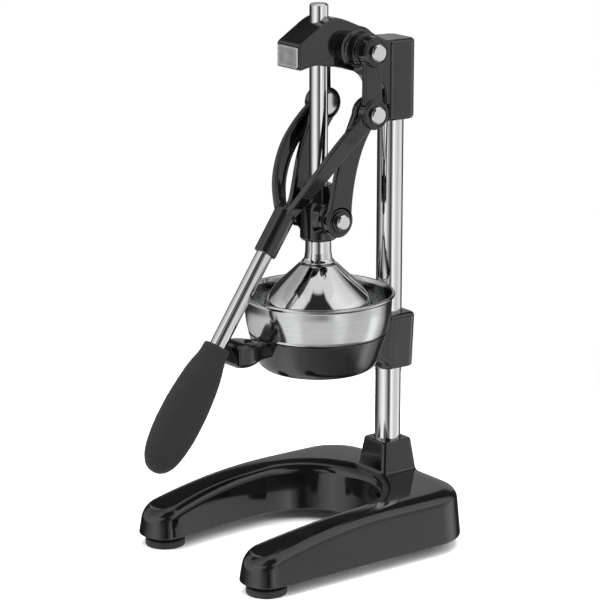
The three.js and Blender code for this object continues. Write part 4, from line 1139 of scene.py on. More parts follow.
# %% Fork
FORK_INNER = 28.4
FORK_OUTER = span("lever_fork")[1].x
LEVER_ANGLE = math.radians(34.2)
SOCKET = Vector((-99.3, 264))
SOCKET_RADIUS = 8.6
SOCKET_LENGTH = 34.5
LEVER_ROD_RADIUS = 6.2
PLATE_THICK = 5.6
PLATE_HALF = 7.8
PLATE_FLARE = 1.6
PLATE_STEPS = 12
ARM_THICK = 5
ARM_WIDTH = 13.8
ARM_END_WIDTH = 9.4
ARM_SETBACK = 0.8
ARM_STEPS = 8
HEAD_TURN_STEPS = 72
ARM_WAY = [
    (0.997, 0, 0), (1.026, 0.187, 0.1), (0.994, 0.421, 0.261), (0.92, 0.603, 0.416), (0.798, 0.743, 0.573),
    (0.625, 0.858, 0.728), (0.404, 0.94, 0.878), (0.144, 1.009, 1.021),
]
lever_turn = Matrix.Rotation(math.pi - LEVER_ANGLE, 4, "X")
LEVER = Matrix.Translation((0, SOCKET.x, SOCKET.y)) @ lever_turn


def arm_part(side):
    spread_x = FORK_INNER + PLATE_THICK / 2
    way = SOCKET - ELBOW
    points = [(side * spread_x * wide, ELBOW.x + ahead * way.x, ELBOW.y + down * way.y)
              for wide, ahead, down in ARM_WAY]

    def section(share):
        half = (ARM_WIDTH + share * share * (ARM_END_WIDTH - ARM_WIDTH)) / 2
        setback = Vector((side * ARM_SETBACK * (1 - share * share), 0))
        return [p + setback for p in channel(half, ARM_THICK, 1.6, 1.5 * eased(share, 0.1, 0.9), 2.2)]

    return swept(flowing(points, ARM_STEPS), side, section)


def plate_part(side):
    x = side * (FORK_INNER + PLATE_THICK / 2)
    path = [in_plane(x, PIVOT.lerp(ELBOW, n / PLATE_STEPS)) for n in range(PLATE_STEPS + 1)]

    def section(share):
        return channel(PLATE_HALF + PLATE_FLARE * abs(2 * share - 1) ** 3, PLATE_THICK, 1.5)

    return swept(path, side, section)


def eye_part(side, place):
    """An eye with a raised rim round the seat of the pin's head, and a hollow ring beside it."""
    face, seat = FORK_OUTER, FORK_OUTER - 0.8
    profile = soften([
        (PIN_BORE, FORK_INNER, 0.2), (11.3, FORK_INNER, 0.9), (11.3, face - 2.1, 0.5),
        (10.6, face - 1.7, 0.3), (10.6, face, 0.6), (8.6, face, 0.4), (8.6, seat, 0.2),
        (PIN_BORE, seat, 0.2),
    ], closed=True)
    return on_pivot(turned(profile, HEAD_TURN_STEPS, loop=True), side, place)


def socket_part():
    profile = soften([
        (0, -6), (SOCKET_RADIUS - 3.6, -6, 2), (SOCKET_RADIUS, -1.5, 3), (SOCKET_RADIUS, SOCKET_LENGTH, 1),
        (6.6, SOCKET_LENGTH, 0.4), (6.6, 9, 0.2), (0, 9),
    ])
    return moved(turned(profile, HEAD_TURN_STEPS), LEVER)


fork_parts = [socket_part()]
for side in (-1, 1):
    fork_parts += [arm_part(side), plate_part(side), eye_part(side, PIVOT), eye_part(side, ELBOW)]
piece("fork_casting", fork_parts, ["lever_fork"], ENAMEL)

# %% [markdown]
# ## Lever rod
# A chromed rod joins the fork's socket to the grip, and its far end is hidden in the grip. It is the
# same bar as the column, drawn along Z and then laid on the lever's line with one matrix.

# %% Lever rod
ROD_SEAT = 8.3
ROD_END = 193.7
LEVER_CHAMFER = 0.8
lever_bar = turned(bar_profile(LEVER_ROD_RADIUS, ROD_SEAT, ROD_END, LEVER_CHAMFER), HEAD_TURN_STEPS)
piece("lever_bar", [moved(lever_bar, LEVER)], ["lever_rod"], CHROME)

# %% [markdown]
# ## Head
# The head is a casting with the look of a swan's neck. Its side view is one outline: a flat nose with
# the plate, a crown over the rod, a slope to the column, and a throat below. The outline is made thick
# and its edges are rounded by shrinking it a little towards each face.

# %% Outline made thick
LEAST_STRETCH = 0.4


def shrunk(line, inset):
    """The closed outline moved in by an inset, each point along the mean of its two edges' ways in."""
    count = len(line)
    area = sum(line[k - 1].x * line[k].y - line[k].x * line[k - 1].y for k in range(count))
    turn = 1 if area > 0 else -1
    result = []
    for k in range(count):
        before = (line[k] - line[k - 1]).normalized()
        after = (line[(k + 1) % count] - line[k]).normalized()
        way = Vector((-(before.y + after.y), before.x + after.x)) * turn
        stretch = max(LEAST_STRETCH, way.length / 2)
        result.append(line[k] + way.normalized() * inset / stretch)
    return result


def thick_part(line, half, edge, steps=6):
    """The outline in the Y-Z plane, made thick along X, with rounded edges."""
    rings = []
    for side in (-1, 1):
        for n in range(steps + 1):
            angle = math.pi / 2 * (n if side < 0 else steps - n) / steps
            inset, x = edge * (1 - math.sin(angle)), half - edge * (1 - math.cos(angle))
            rings.append([Vector((side * x, p.x, p.y)) for p in shrunk(line, inset)])
    return skin(rings)


print("an outline is made thick in rings of its own points, shrunk towards each face")

# %% Head
head_low, head_high = span("head")
HEAD_HALF = 14.2
NOSE = -head_low.y
UNDERSIDE = 372
RISE = head_high.z - UNDERSIDE
SLEEVE_HALF = 15.6
SLEEVE_TOP = 386.5
SLEEVE_FRONT = -15
SLEEVE_BOTTOM = head_low.z
SLEEVE_CORNER = 7
SLEEVE_EDGE = 3
BOSS_END = 26.5
CROWN = [(0.02, 0.56), (0.139, 0.758), (0.253, 0.939), (0.345, 1), (0.43, 0.95), (0.563, 0.803),
         (0.675, 0.656), (0.766, 0.514), (0.855, 0.41)]
THROAT = [(0.842, -0.944), (0.837, -0.722), (0.823, -0.564), (0.786, -0.414), (0.741, -0.322),
          (0.69, -0.261), (0.586, -0.186), (0.48, -0.103), (0.383, -0.022), (0.267, 0.019),
          (0.1675, 0.067), (0.09, 0.042), (0.03, 0.01)]
print(f"head: nose at {NOSE:.1f}, rise {RISE:.1f}")


def head_outline():
    def at(along, up):
        return Vector(((along - 1) * NOSE, UNDERSIDE + up * RISE))

    crown = flowing([at(*s) for s in CROWN], FLOW_STEPS)
    throat = flowing([at(*s) for s in THROAT], FLOW_STEPS)
    nose = soften([throat[-1], (*at(0, 0), 1.8), (*at(0, 0.52), 2), crown[0]])
    return nose[:-1] + crown + [Vector((0, crown[-1].y)), Vector((0, throat[0].y))] + throat[:-1]


def head_sleeve():
    rear, front = head_high.y, SLEEVE_FRONT
    middle, deep = (rear + front) / 2, (rear - front) / 2
    rings = []
    for inset, height in edge_levels(SLEEVE_BOTTOM, SLEEVE_TOP, SLEEVE_EDGE):
        ring = rounded_square(SLEEVE_HALF - inset, deep - inset, SLEEVE_CORNER - inset)
        rings.append([Vector((p.x, p.y + middle, height)) for p in ring])
    bore = COLUMN_RADIUS + GAP
    top = span("column")[1].z + GAP
    roof = [Vector((0, 0, top))] * len(rings[0])
    walls = [[Vector((*(p.xy.normalized() * bore), height)) for p in rings[0]]
             for height in (top, SLEEVE_BOTTOM)]
    return skin([roof, *walls, *rings])


def pivot_boss(side):
    """The boss of the lever's pivot: a flare on the casting's flank, a round post and a turned step."""
    profile = soften([
        (0, 4), (16.8, 4), (16.8, 13.9), (12.4, 15.2, 3.2), (12.4, BOSS_END - 3.1, 0.4),
        (11.6, BOSS_END - 2.6, 0.3), (11.6, BOSS_END, 0.5), (0, BOSS_END),
    ])
    return on_pivot(turned(profile, HEAD_TURN_STEPS), side, PIVOT)


# %% [markdown]
# ### The hole for the rod
# The rod slides through the head in a bush, and its bore crosses the curved crown, so its edge is no
# plain circle. Only a boolean gives that edge exactly. It runs on the swan's neck alone, because sleeve
# and bosses overlap it, and they join the mesh when the hole is cut.

# %% Hole, sleeve and bosses
HEAD_EDGE = 1.5
bush_low, bush_high = span("guide_bush")
BUSH_RADIUS = bush_high.x
seat, narrow = BUSH_RADIUS + GAP, ROD_RADIUS + GAP
hole_line = [(0, bush_low.z - seat), (seat, bush_low.z - seat), (seat, bush_high.z + GAP),
             (narrow, bush_high.z + GAP), (narrow, head_high.z + seat), (0, head_high.z + seat)]
head = new_object("head_casting", [thick_part(head_outline(), HEAD_HALF, HEAD_EDGE)])
hole = new_object("rod_hole", [on_plunger(turned(hole_line, BOSS_TURN_STEPS))])
cut = head.modifiers.new("rod_hole", "BOOLEAN")
cut.object = hole
cut.operation = "DIFFERENCE"
settled(head)
bpy.data.objects.remove(hole)
rest = new_object("head_rest", [head_sleeve(), pivot_boss(-1), pivot_boss(1)])
both = bmesh.new()
both.from_mesh(head.data)
both.from_mesh(rest.data)
both.to_mesh(head.data)
both.free()
bpy.data.objects.remove(rest)
finished(head, ["head"], ENAMEL)

# %% [markdown]
# ## Guide bush and plate
# A pale bush guides the rod from inside the head; only its lower end can be seen. On the nose lies a bare
# plate with a raised rim, pressed from sheet. The lathe makes the one, rounded squares make the other.

# %% Guide bush and plate
PLATE_CORNER = 1.8
bush = soften([(narrow, bush_low.z), (BUSH_RADIUS, bush_low.z, 0.4), (BUSH_RADIUS, bush_high.z, 0.5),
               (narrow, bush_high.z, 0.6)], closed=True)
piece("guide_bush_turned", [on_plunger(turned(bush, loop=True))], ["guide_bush"], BUSH)


def plate_rings():
    """A bare plate: a raised rim round a field that lies a little lower."""
    low, high = span("badge_plate")
    half, tall, front = high.x, (high.z - low.z) / 2, low.y
    height = (high.z + low.z) / 2
    levels = [(0, high.y), (0, front + 0.3), (0.1, front + 0.1), (0.3, front), (1, front),
              (1.15, front + 0.2), (1.3, front + 0.3)]
    rings = []
    for inset, y in levels:
        ring = rounded_square(half - inset, tall - inset, PLATE_CORNER - inset * 0.9)
        rings.append([Vector((p.x, y, height + p.y)) for p in ring])
    return skin(rings)


piece("plate_bare", [plate_rings()], ["badge_plate"], SATIN_PLATE)

# %% [markdown]
# ## Pairs
# Feet, screws, pins, washers and spacers all come in mirrored pairs. One Geometry Nodes tree makes any
# pair: two points, one on each side, an instance of the small piece on each, turned to face outwards
# when it lies on a pivot. Its sizes are named inputs, set on each modifier.

# %% The pair tree
def group(name, inputs):
    """An empty Geometry Nodes tree with named inputs. Returns it with its input sockets by name."""
    tree = bpy.data.node_groups.new(name, "GeometryNodeTree")
    tree.interface.new_socket("Geometry", in_out="OUTPUT", socket_type="NodeSocketGeometry")
    names = {}
    for label, kind in inputs.items():
        socket = tree.interface.new_socket(label, in_out="INPUT", socket_type=f"NodeSocket{kind}")
        names[label] = socket.identifier
    source = tree.nodes.new("NodeGroupInput")
    return tree, names, {label: source.outputs[label] for label in inputs}


def closed_tree(tree, geometry, finish):
    """Ends a tree with Realize Instances and Set Material."""
    real = add(tree, "GeometryNodeRealizeInstances", None, {0: geometry})
    painted = add(tree, "GeometryNodeSetMaterial", None, {"Geometry": real.outputs[0], "Material": finish})
    add(tree, "NodeGroupOutput", None, {0: painted.outputs[0]})


def set_down(tree, geometry, setback, height=0.0, tilt=0.0):
    """Tilts a geometry about X and puts it at its setback and height."""
    return add(tree, "GeometryNodeTransform", None, {
        "Geometry": geometry, "Translation": vector_node(tree, y=setback, z=height),
        "Rotation": vector_node(tree, x=tilt),
    }).outputs[0]


def pair_tree():
    tree, names, ask = group("mirrored_pair", {
        "Small piece": "Object", "Half spread": "Float", "Setback": "Float", "Height": "Float",
        "Turn out": "Float", "Finish": "Material",
    })
    points = add(tree, "GeometryNodePoints", None, {"Count": 2})
    index = add(tree, "GeometryNodeInputIndex").outputs[0]
    side = math_node(tree, "SUBTRACT", math_node(tree, "MULTIPLY", index, 2.0), 1.0)
    x = math_node(tree, "MULTIPLY", side, ask["Half spread"])
    place = vector_node(tree, x, ask["Setback"], ask["Height"])
    turn = math_node(tree, "MULTIPLY", side, ask["Turn out"])
    spot = add(tree, "GeometryNodeSetPosition", None, {0: points.outputs[0], "Position": place})
    shape = add(tree, "GeometryNodeObjectInfo", None, {"Object": ask["Small piece"]})
    copies = add(tree, "GeometryNodeInstanceOnPoints", None, {
        "Points": spot.outputs[0], "Instance": shape.outputs["Geometry"],
        "Rotation": vector_node(tree, y=turn),
    })
    closed_tree(tree, copies.outputs[0], ask["Finish"])
    return tree, names


PAIR, PAIR_INPUTS = pair_tree()


def grown(name, tree, names, values, nodes, finish):
    """Runs a tree, keeps its result as a plain mesh, and finishes the piece."""
    obj = linked(name, bpy.data.meshes.new(name))
    modifier = obj.modifiers.new(name, "NODES")
    modifier.node_group = tree
    for label, value in {**values, "Finish": finish}.items():
        modifier[names[label]] = value
    settled(obj)
    finished(obj, nodes, finish)


def pair(name, part, nodes, finish, half_spread, place, turn_out=0.0):
    """Two copies of a small part, drawn in millimetres about its own axis."""
    points, faces = cleaned(part)
    template = linked("small_piece", new_mesh("small_piece", [p * MM for p in points], faces))
    at = AXIS + in_plane(0, place) * MM
    grown(name, PAIR, PAIR_INPUTS, {
        "Small piece": template, "Half spread": half_spread * MM, "Setback": at.y, "Height": at.z,
        "Turn out": turn_out,
    }, nodes, finish)
    bpy.data.objects.remove(template)


print("inputs of a pair:", ", ".join(PAIR_INPUTS))


# %% [markdown]
# ## Feet and their screws
# Each foot is a rubber disc with a waist, held by a screw whose head is sunk in it. The front and the
# rear pair stand at different places, so the tree runs once for each.

# %% Feet
foot_low, foot_high = span("foot_1")
FOOT_RADIUS = (foot_high.x - foot_low.x) / 2
FOOT_TOP = foot_high.z
HEAD_HOLE = 5.1
screw_low, screw_high = span("foot_screw_1")
SCREW_HEAD = (screw_high.x - screw_low.x) / 2
SCREW_HEAD_TALL = 2.6
SCREW_STEPS = 48
HEX_RADIUS = 1.7
HEX_DEEP = 1.5
NEAR = 0.01
WAIST = 12.4
SEAT_HEIGHT = 4.7

foot_profile = soften([
    (HEAD_HOLE, 0, 0.3), (FOOT_RADIUS, 0, 0.9), (FOOT_RADIUS, 5.6, 1.1), (WAIST, 6.2, 0.8),
    (WAIST, FOOT_TOP, 0.3), (SCREW_RADIUS + GAP, FOOT_TOP), (SCREW_RADIUS + GAP, SEAT_HEIGHT),
    (HEAD_HOLE, SEAT_HEIGHT),
], closed=True)


def hexagon(least, most=math.inf):
    """A radius factor that makes turned rings hexagons, if their radius lies between the two."""
    def shape(radius, height, angle):
        if not least < radius < most:
            return 1
        return math.cos(math.pi / 6) / math.cos((angle % (math.pi / 3)) - math.pi / 6)
    return shape


HEX_SOCKET = hexagon(HEX_RADIUS - NEAR, HEX_RADIUS + NEAR)


def foot_screw_part():
    sink, end, head = screw_low.z, screw_high.z, screw_low.z + SCREW_HEAD_TALL
    socket = [(0, sink + HEX_DEEP), (HEX_RADIUS, sink + HEX_DEEP), (HEX_RADIUS, sink)]
    outside = soften([
        (HEX_RADIUS, sink), (SCREW_HEAD - 0.9, sink, 0.3), (SCREW_HEAD, sink + 0.9, 0.5),
        (SCREW_HEAD, head, 0.2), (SCREW_RADIUS, head), (SCREW_RADIUS, end, 0.5), (0, end),
    ])
    return turned([*socket, *outside[1:]], SCREW_STEPS, shape=HEX_SOCKET)


for name, first in (("front", 1), ("rear", 3)):
    spot = FEET[first - 1]
    pair(f"{name}_feet", turned(foot_profile, loop=True), [f"foot_{first}", f"foot_{first + 1}"], RUBBER,
         spot.x, (spot.y, 0))
    pair(f"{name}_foot_screws", foot_screw_part(), [f"foot_screw_{first}", f"foot_screw_{first + 1}"], ZINC,
         spot.x, (spot.y, 0))

# %% [markdown]
# ## Pins, spacers and washers
# The lever turns on two bolts in the head, and pins hold the elbows and the crosshead. Their round heads
# are what one sees: a flat face, a bright chamfer and a short side. They are drawn along Z from the
# middle of the press outwards, and the tree turns them to each side.

# %% Pin pairs
TURN_OUT = math.pi / 2
PIN_HEAD_TALL = 3.4
PIN_HEAD = 6.5
LINK_BOLT_HEAD = 5.8
DISC_RADIUS = 8.5
DISC_THICK = 1.6
FACE_GAP = 0.02


def pin_profile(shank_end, seat, head_radius, head_end):
    """A pin from the inner end of its shank to its head; the head may point either way."""
    out = 1 if head_end > seat else -1
    chamfer = min(1.0, abs(head_end - seat) * 0.45)
    return soften([
        (0, shank_end), (PIN_RADIUS, shank_end, 0.4), (PIN_RADIUS, seat, 0.1), (head_radius, seat, 0.25),
        (head_radius, head_end - out * chamfer, 0.35), (head_radius - chamfer, head_end, 0.35),
        (head_radius * 0.45, head_end + out * FACE_GAP, 1), (0, head_end + out * FACE_GAP),
    ])


def mirrored(name, part, node, place, finish):
    pair(name, part, [f"{node}_left", f"{node}_right"], finish, 0, place, TURN_OUT)


def pin_pair(name, node, place, head_radius):
    low, high = span(f"{node}_right")
    profile = pin_profile(low.x, high.x - PIN_HEAD_TALL, head_radius, high.x - FACE_GAP)
    mirrored(name, turned(profile, BOSS_TURN_STEPS), node, place, PIN_CHROME)


pin_pair("pivot_bolts", "pivot_bolt", PIVOT, PIN_HEAD)
pin_pair("elbow_pins", "elbow_pin", ELBOW, PIN_HEAD)
pin_pair("link_bolts", "link_bolt", CROSS, LINK_BOLT_HEAD)

for side, name in ((-1, "left"), (1, "right")):
    low, high = span("link_pin_right")
    profile = pin_profile(high.x, low.x + DISC_THICK, DISC_RADIUS, low.x + FACE_GAP)
    disc = on_pivot(turned(profile, BOSS_TURN_STEPS), side, ELBOW)
    piece(f"link_disc_{name}", [disc], [f"link_pin_{name}"], PIN_CHROME)

# %% [markdown]
# ## Washers and spacers
# A washer keeps a turning eye off its boss. All are flat rings with a soft outer edge, so one outline
# serves the pairs on the pivots, which the tree mirrors, and the single one under the column.

# %% Washer pairs
SPACER_RADIUS = 10.2
LINK_WASHER_RADIUS = 7.8


def washer_part(radius, start, end):
    profile = [(PIN_BORE, start, 0.2), (radius, start, 0.3), (radius, end, 0.3), (PIN_BORE, end, 0.2)]
    return turned(soften(profile, closed=True), BOSS_TURN_STEPS, loop=True)


def washer_pair(name, node, place, radius, finish):
    low, high = span(f"{node}_right")
    mirrored(name, washer_part(radius, low.x, high.x), node, place, finish)


washer_pair("pivot_spacers", "pivot_spacer", PIVOT, SPACER_RADIUS, ZINC)
washer_pair("link_washers", "link_washer", CROSS, LINK_WASHER_RADIUS, ENAMEL)

# %% [markdown]
# ## Set screws, bolt and nut
# Three headless screws clamp head and holder on the column and the crosshead on the rod. A bolt holds
# the column from below, and a nut the bell. Hexagons are turned like the rest: a factor on the radius
# flattens a ring's six sides, so socket, bolt head and nut need no tool of their own.

# %% Set screws
SOCKET_DEEP = 2.4


def set_screw(place):
    """A headless screw with a hexagon socket in its outer end, pointing to the back."""
    node = f"{place}_grub_screw"
    low, high = span(node)
    radius, length = (high.x - low.x) / 2, high.y - low.y
    outside = soften([(0, 0), (radius, 0, 0.4), (radius, length, 0.35), (HEX_RADIUS, length)])
    socket = [(HEX_RADIUS, length - SOCKET_DEEP), (0, length - SOCKET_DEEP)]
    part = turned(outside + socket, SCREW_STEPS, shape=HEX_SOCKET)
    turn = Matrix.Translation((0, low.y, (low.z + high.z) / 2)) @ Matrix.Rotation(-math.pi / 2, 4, "X")
    piece(f"{place}_set_screw", [moved(part, turn)], [node], ZINC)


for place in ("head", "holder", "crosshead"):
    set_screw(place)

# %% Column bolt, washer and bell nut
BOLT_HEAD_TALL = 5.5
BOLT_RADIUS = 4
BOLT_HEX_FROM = 4.5
NUT_RADIUS = 6.3
NUT_HEX_FROM = 6.9
HEX_EDGE_STEPS = 4

low, high = span("column_bolt")
bolt = soften([(0, low.z), (high.x, low.z, 0.8), (high.x, low.z + BOLT_HEAD_TALL, 0.2),
               (BOLT_RADIUS, low.z + BOLT_HEAD_TALL), (BOLT_RADIUS, high.z, 0.6), (0, high.z)],
              steps=HEX_EDGE_STEPS)
bolt_part = turned(bolt, HEAD_TURN_STEPS, shape=hexagon(BOLT_HEX_FROM))
piece("column_bolt_hexagon", [bolt_part], ["column_bolt"], ZINC)

low, high = span("column_washer")
piece("column_washer_flat", [washer_part(high.x, low.z, high.z)], ["column_washer"], ZINC)

low, high = span("bell_nut")
nut = soften([(NUT_RADIUS, low.z, 0.3), (high.x, low.z, 0.8), (high.x, high.z, 0.8),
              (NUT_RADIUS, high.z, 0.3)], closed=True, steps=HEX_EDGE_STEPS)
nut_part = turned(nut, HEAD_TURN_STEPS, loop=True, shape=hexagon(NUT_HEX_FROM))
piece("bell_nut_hexagon", [on_plunger(nut_part)], ["bell_nut"], ZINC)

# %% [markdown]
# ## Grip
# The grip's shape follows a rule: its radius depends only on how far along it is. So it is grown from a
# flat grid of points: one way of the grid becomes the angle, the other the length, and a float curve
# gives the radius. Rows are packed closer at both ends, where the outline bends most.

# %% Spun grid
WELD = 0.00001


def spun_grid(tree, around, along, radius_of):
    """A grid rolled up about Z. radius_of(share, angle) gives the socket of the radius."""
    grid = add(tree, "GeometryNodeMeshGrid", None, {
        "Size X": 1.0, "Size Y": 1.0, "Vertices X": around + 1, "Vertices Y": along + 1,
    })
    place = add(tree, "ShaderNodeSeparateXYZ", None, {0: add(tree, "GeometryNodeInputPosition").outputs[0]})
    angle = math_node(tree, "MULTIPLY", math_node(tree, "ADD", place.outputs[0], 0.5), 2 * math.pi)
    even = math_node(tree, "MULTIPLY", math_node(tree, "ADD", place.outputs[1], 0.5), math.pi)
    share = math_node(tree, "MULTIPLY_ADD", math_node(tree, "COSINE", even), -0.5, 0.5)
    radius, height = radius_of(share, angle)
    x = math_node(tree, "MULTIPLY", radius, math_node(tree, "COSINE", angle))
    y = math_node(tree, "MULTIPLY", radius, math_node(tree, "SINE", angle))
    point = vector_node(tree, x, y, height)
    rolled = add(tree, "GeometryNodeSetPosition", None, {0: grid.outputs[0], "Position": point})
    weld = {0: rolled.outputs[0], "Distance": WELD}
    return add(tree, "GeometryNodeMergeByDistance", None, weld).outputs[0]


def float_curve(tree, value, points):
    curve = add(tree, "ShaderNodeFloatCurve", None, {"Value": value})
    line = curve.mapping.curves[0]
    while len(line.points) < len(points):
        line.points.new(0.5, 0.5)
    for spot, place in zip(line.points, points):
        spot.location = place
    curve.mapping.update()
    return curve.outputs[0]


print("a spun grid is welded within", WELD, "metres")

# %% Grip
GRIP_RADIUS = 17
GRIP_LENGTH = 104.5
GRIP_START = 111
GRIP_GRID = (96, 120)
GRIP_LINE = [(0, 0), (0.004, 0.5), (0.014, 0.585), (0.08, 0.62), (0.16, 0.74), (0.25, 0.85), (0.37, 0.94),
             (0.52, 1), (0.65, 0.995), (0.77, 0.93), (0.87, 0.81), (0.94, 0.62), (0.985, 0.34), (1, 0)]


def grip_tree():
    tree, names, ask = group("hand_grip", {
        "Radius": "Float", "Length": "Float", "Start": "Float", "Tilt": "Float", "Setback": "Float",
        "Height": "Float", "Finish": "Material",
    })

    def outline(share, angle):
        radius = math_node(tree, "MULTIPLY", float_curve(tree, share, GRIP_LINE), ask["Radius"])
        return radius, math_node(tree, "MULTIPLY_ADD", share, ask["Length"], ask["Start"])

    rolled = spun_grid(tree, *GRIP_GRID, outline)
    closed_tree(tree, set_down(tree, rolled, ask["Setback"], ask["Height"], ask["Tilt"]), ask["Finish"])
    return tree, names


GRIP, GRIP_INPUTS = grip_tree()
socket_place = AXIS + in_plane(0, SOCKET) * MM
grown("grip_moulded", GRIP, GRIP_INPUTS, {
    "Radius": GRIP_RADIUS * MM, "Length": GRIP_LENGTH * MM, "Start": GRIP_START * MM,
    "Tilt": math.pi - LEVER_ANGLE, "Setback": socket_place.y, "Height": socket_place.z,
}, ["grip"], GRIP_FOAM)

# %% [markdown]
# ## Reamer
# Inside the bowl a ribbed cone opens the fruit. It is a spun grid like the grip, but its radius also
# swings with the angle, once for each rib, and the ribs fade out at the foot.

# %% Reamer
reamer_high = span("reamer_cone")[1]
plate_low, plate_high = span("strainer_plate")
CONE_LINE = [(0, 0), (0.02, 0.97), (0.08, 1), (0.3, 0.91), (0.55, 0.71), (0.76, 0.47), (0.9, 0.25),
             (0.97, 0.12), (1, 0)]
CONE_GRID = (200, 60)
RIBS = 10
RIB_DEPTH = 0.2
RIB_RISE = 8.0


def reamer_tree():
    tree, names, ask = group("ribbed_cone", {
        "Radius": "Float", "Rise": "Float", "Foot": "Float", "Ribs": "Float", "Rib depth": "Float",
        "Setback": "Float", "Finish": "Material",
    })

    def outline(share, angle):
        half_turns = math_node(tree, "MULTIPLY", angle, math_node(tree, "MULTIPLY", ask["Ribs"], 0.5))
        swing = math_node(tree, "ABSOLUTE", math_node(tree, "COSINE", half_turns))
        valley = math_node(tree, "MULTIPLY", math_node(tree, "SUBTRACT", 1.0, swing), ask["Rib depth"])
        rise = math_node(tree, "MINIMUM", math_node(tree, "MULTIPLY", share, RIB_RISE), 1.0)
        keep = math_node(tree, "MULTIPLY", valley, rise)
        wide = math_node(tree, "MULTIPLY", float_curve(tree, share, CONE_LINE), ask["Radius"])
        radius = math_node(tree, "MULTIPLY", wide, math_node(tree, "SUBTRACT", 1.0, keep))
        return radius, math_node(tree, "MULTIPLY_ADD", share, ask["Rise"], ask["Foot"])

    rolled = spun_grid(tree, *CONE_GRID, outline)
    closed_tree(tree, set_down(tree, rolled, ask["Setback"]), ask["Finish"])
    return tree, names


CONE, CONE_INPUTS = reamer_tree()
cone_foot = plate_high.z + GAP
grown("reamer_ribbed", CONE, CONE_INPUTS, {
    "Radius": reamer_high.x * MM, "Rise": (reamer_high.z - cone_foot) * MM, "Foot": cone_foot * MM,
    "Ribs": float(RIBS), "Rib depth": RIB_DEPTH, "Setback": AXIS.y - REACH * MM,
}, ["reamer_cone"], POLISHED)

# %% [markdown]
# ## Strainer
# A slotted plate under the reamer keeps the pips back. Its slots repeat round a circle, so they are
# instances on the circle's points, and all are cut out of the disc in one go. One slot is the hull of
# two round posts, which gives it round ends.

# %% Strainer
DISC_STEPS = 144
POST_STEPS = 16
SLOTS_ROUND = 24
SLOT_LENGTH = 11
SLOT_WIDTH = 2
SLOT_CIRCLE = 39.5


def strainer_tree():
    tree, names, ask = group("slotted_plate", {
        "Radius": "Float", "Thickness": "Float", "Height": "Float", "Setback": "Float", "Slots": "Int",
        "Slot length": "Float", "Slot width": "Float", "Slot circle": "Float", "Finish": "Material",
    })
    disc = add(tree, "GeometryNodeMeshCylinder", None, {
        "Vertices": DISC_STEPS, "Radius": ask["Radius"], "Depth": ask["Thickness"],
    })
    deep = math_node(tree, "MULTIPLY", ask["Thickness"], 4.0)
    post_radius = math_node(tree, "MULTIPLY", ask["Slot width"], 0.5)
    round_end = add(tree, "GeometryNodeMeshCylinder", None, {
        "Vertices": POST_STEPS, "Radius": post_radius, "Depth": deep,
    })
    reach = math_node(tree, "MULTIPLY", ask["Slot length"], 0.5)
    ends = add(tree, "GeometryNodeJoinGeometry")
    for way in (-1.0, 1.0):
        offset = vector_node(tree, x=math_node(tree, "MULTIPLY", reach, way))
        end = add(tree, "GeometryNodeTransform", None, {
            "Geometry": round_end.outputs["Mesh"], "Translation": offset,
        })
        tree.links.new(end.outputs[0], ends.inputs[0])
    slot = add(tree, "GeometryNodeConvexHull", None, {0: ends.outputs[0]})
    circle = {"Vertices": ask["Slots"], "Radius": ask["Slot circle"]}
    ring = add(tree, "GeometryNodeMeshCircle", None, circle)
    index = add(tree, "GeometryNodeInputIndex").outputs[0]
    step = math_node(tree, "DIVIDE", 2 * math.pi, ask["Slots"])
    turn = vector_node(tree, z=math_node(tree, "MULTIPLY", index, step))
    copies = add(tree, "GeometryNodeInstanceOnPoints", None, {
        "Points": ring.outputs["Mesh"], "Instance": slot.outputs[0], "Rotation": turn,
    })
    slots = add(tree, "GeometryNodeRealizeInstances", None, {0: copies.outputs[0]})
    cut = add(tree, "GeometryNodeMeshBoolean", {"operation": "DIFFERENCE"}, {
        "Mesh 1": disc.outputs["Mesh"], "Mesh 2": slots.outputs[0],
    })
    plate = set_down(tree, cut.outputs["Mesh"], ask["Setback"], ask["Height"])
    closed_tree(tree, plate, ask["Finish"])
    return tree, names


STRAINER, STRAINER_INPUTS = strainer_tree()
grown("strainer_slotted", STRAINER, STRAINER_INPUTS, {
    "Radius": plate_high.x * MM, "Thickness": (plate_high.z - plate_low.z) * MM,
    "Height": (plate_high.z + plate_low.z) / 2 * MM, "Setback": AXIS.y - REACH * MM,
    "Slots": SLOTS_ROUND, "Slot length": SLOT_LENGTH * MM, "Slot width": SLOT_WIDTH * MM,
    "Slot circle": SLOT_CIRCLE * MM,
}, ["strainer_plate"], BRUSHED)

# %% [markdown]
# ## Table
# The press stands on a round pale table, so that it throws a soft shadow. The table is hidden from
# mirrors, because the tent below gives the light that comes up from it.

# %% Table
TABLE_RADIUS = 0.5
PAPER_DARK, PAPER_LIGHT = (0.93, 0.93, 0.93), (0.96, 0.96, 0.96)


def table():
    edge = turned([(TABLE_RADIUS, 0)])[0]
    obj = linked("studio_table", new_mesh("studio_table", edge, [tuple(range(len(edge)))]))
    material, tree = new_finish("pale_paper", roughness=0.8)
    fibres = noise(tree, centred(tree), 300, 3.0)
    obj.data.materials.append(dress(material, tint(tree, fibres, PAPER_DARK, PAPER_LIGHT)))
    obj.visible_glossy = False


table()

# %% [markdown]
# ## Light tent
# Chrome and black enamel have no look of their own: they show what stands round them. In a studio that
# is a tent of cloth, bright where a lamp shines through and dark where a black card hangs. Here the sky
# plays the tent. It is told in belts, one above the other, and each belt is a row of pairs: a direction
# in degrees from the front, and how bright the cloth is there. Dark stretches give bars and bell their
# black bands, and the belts change into each other at the elevations in `BELTS`.

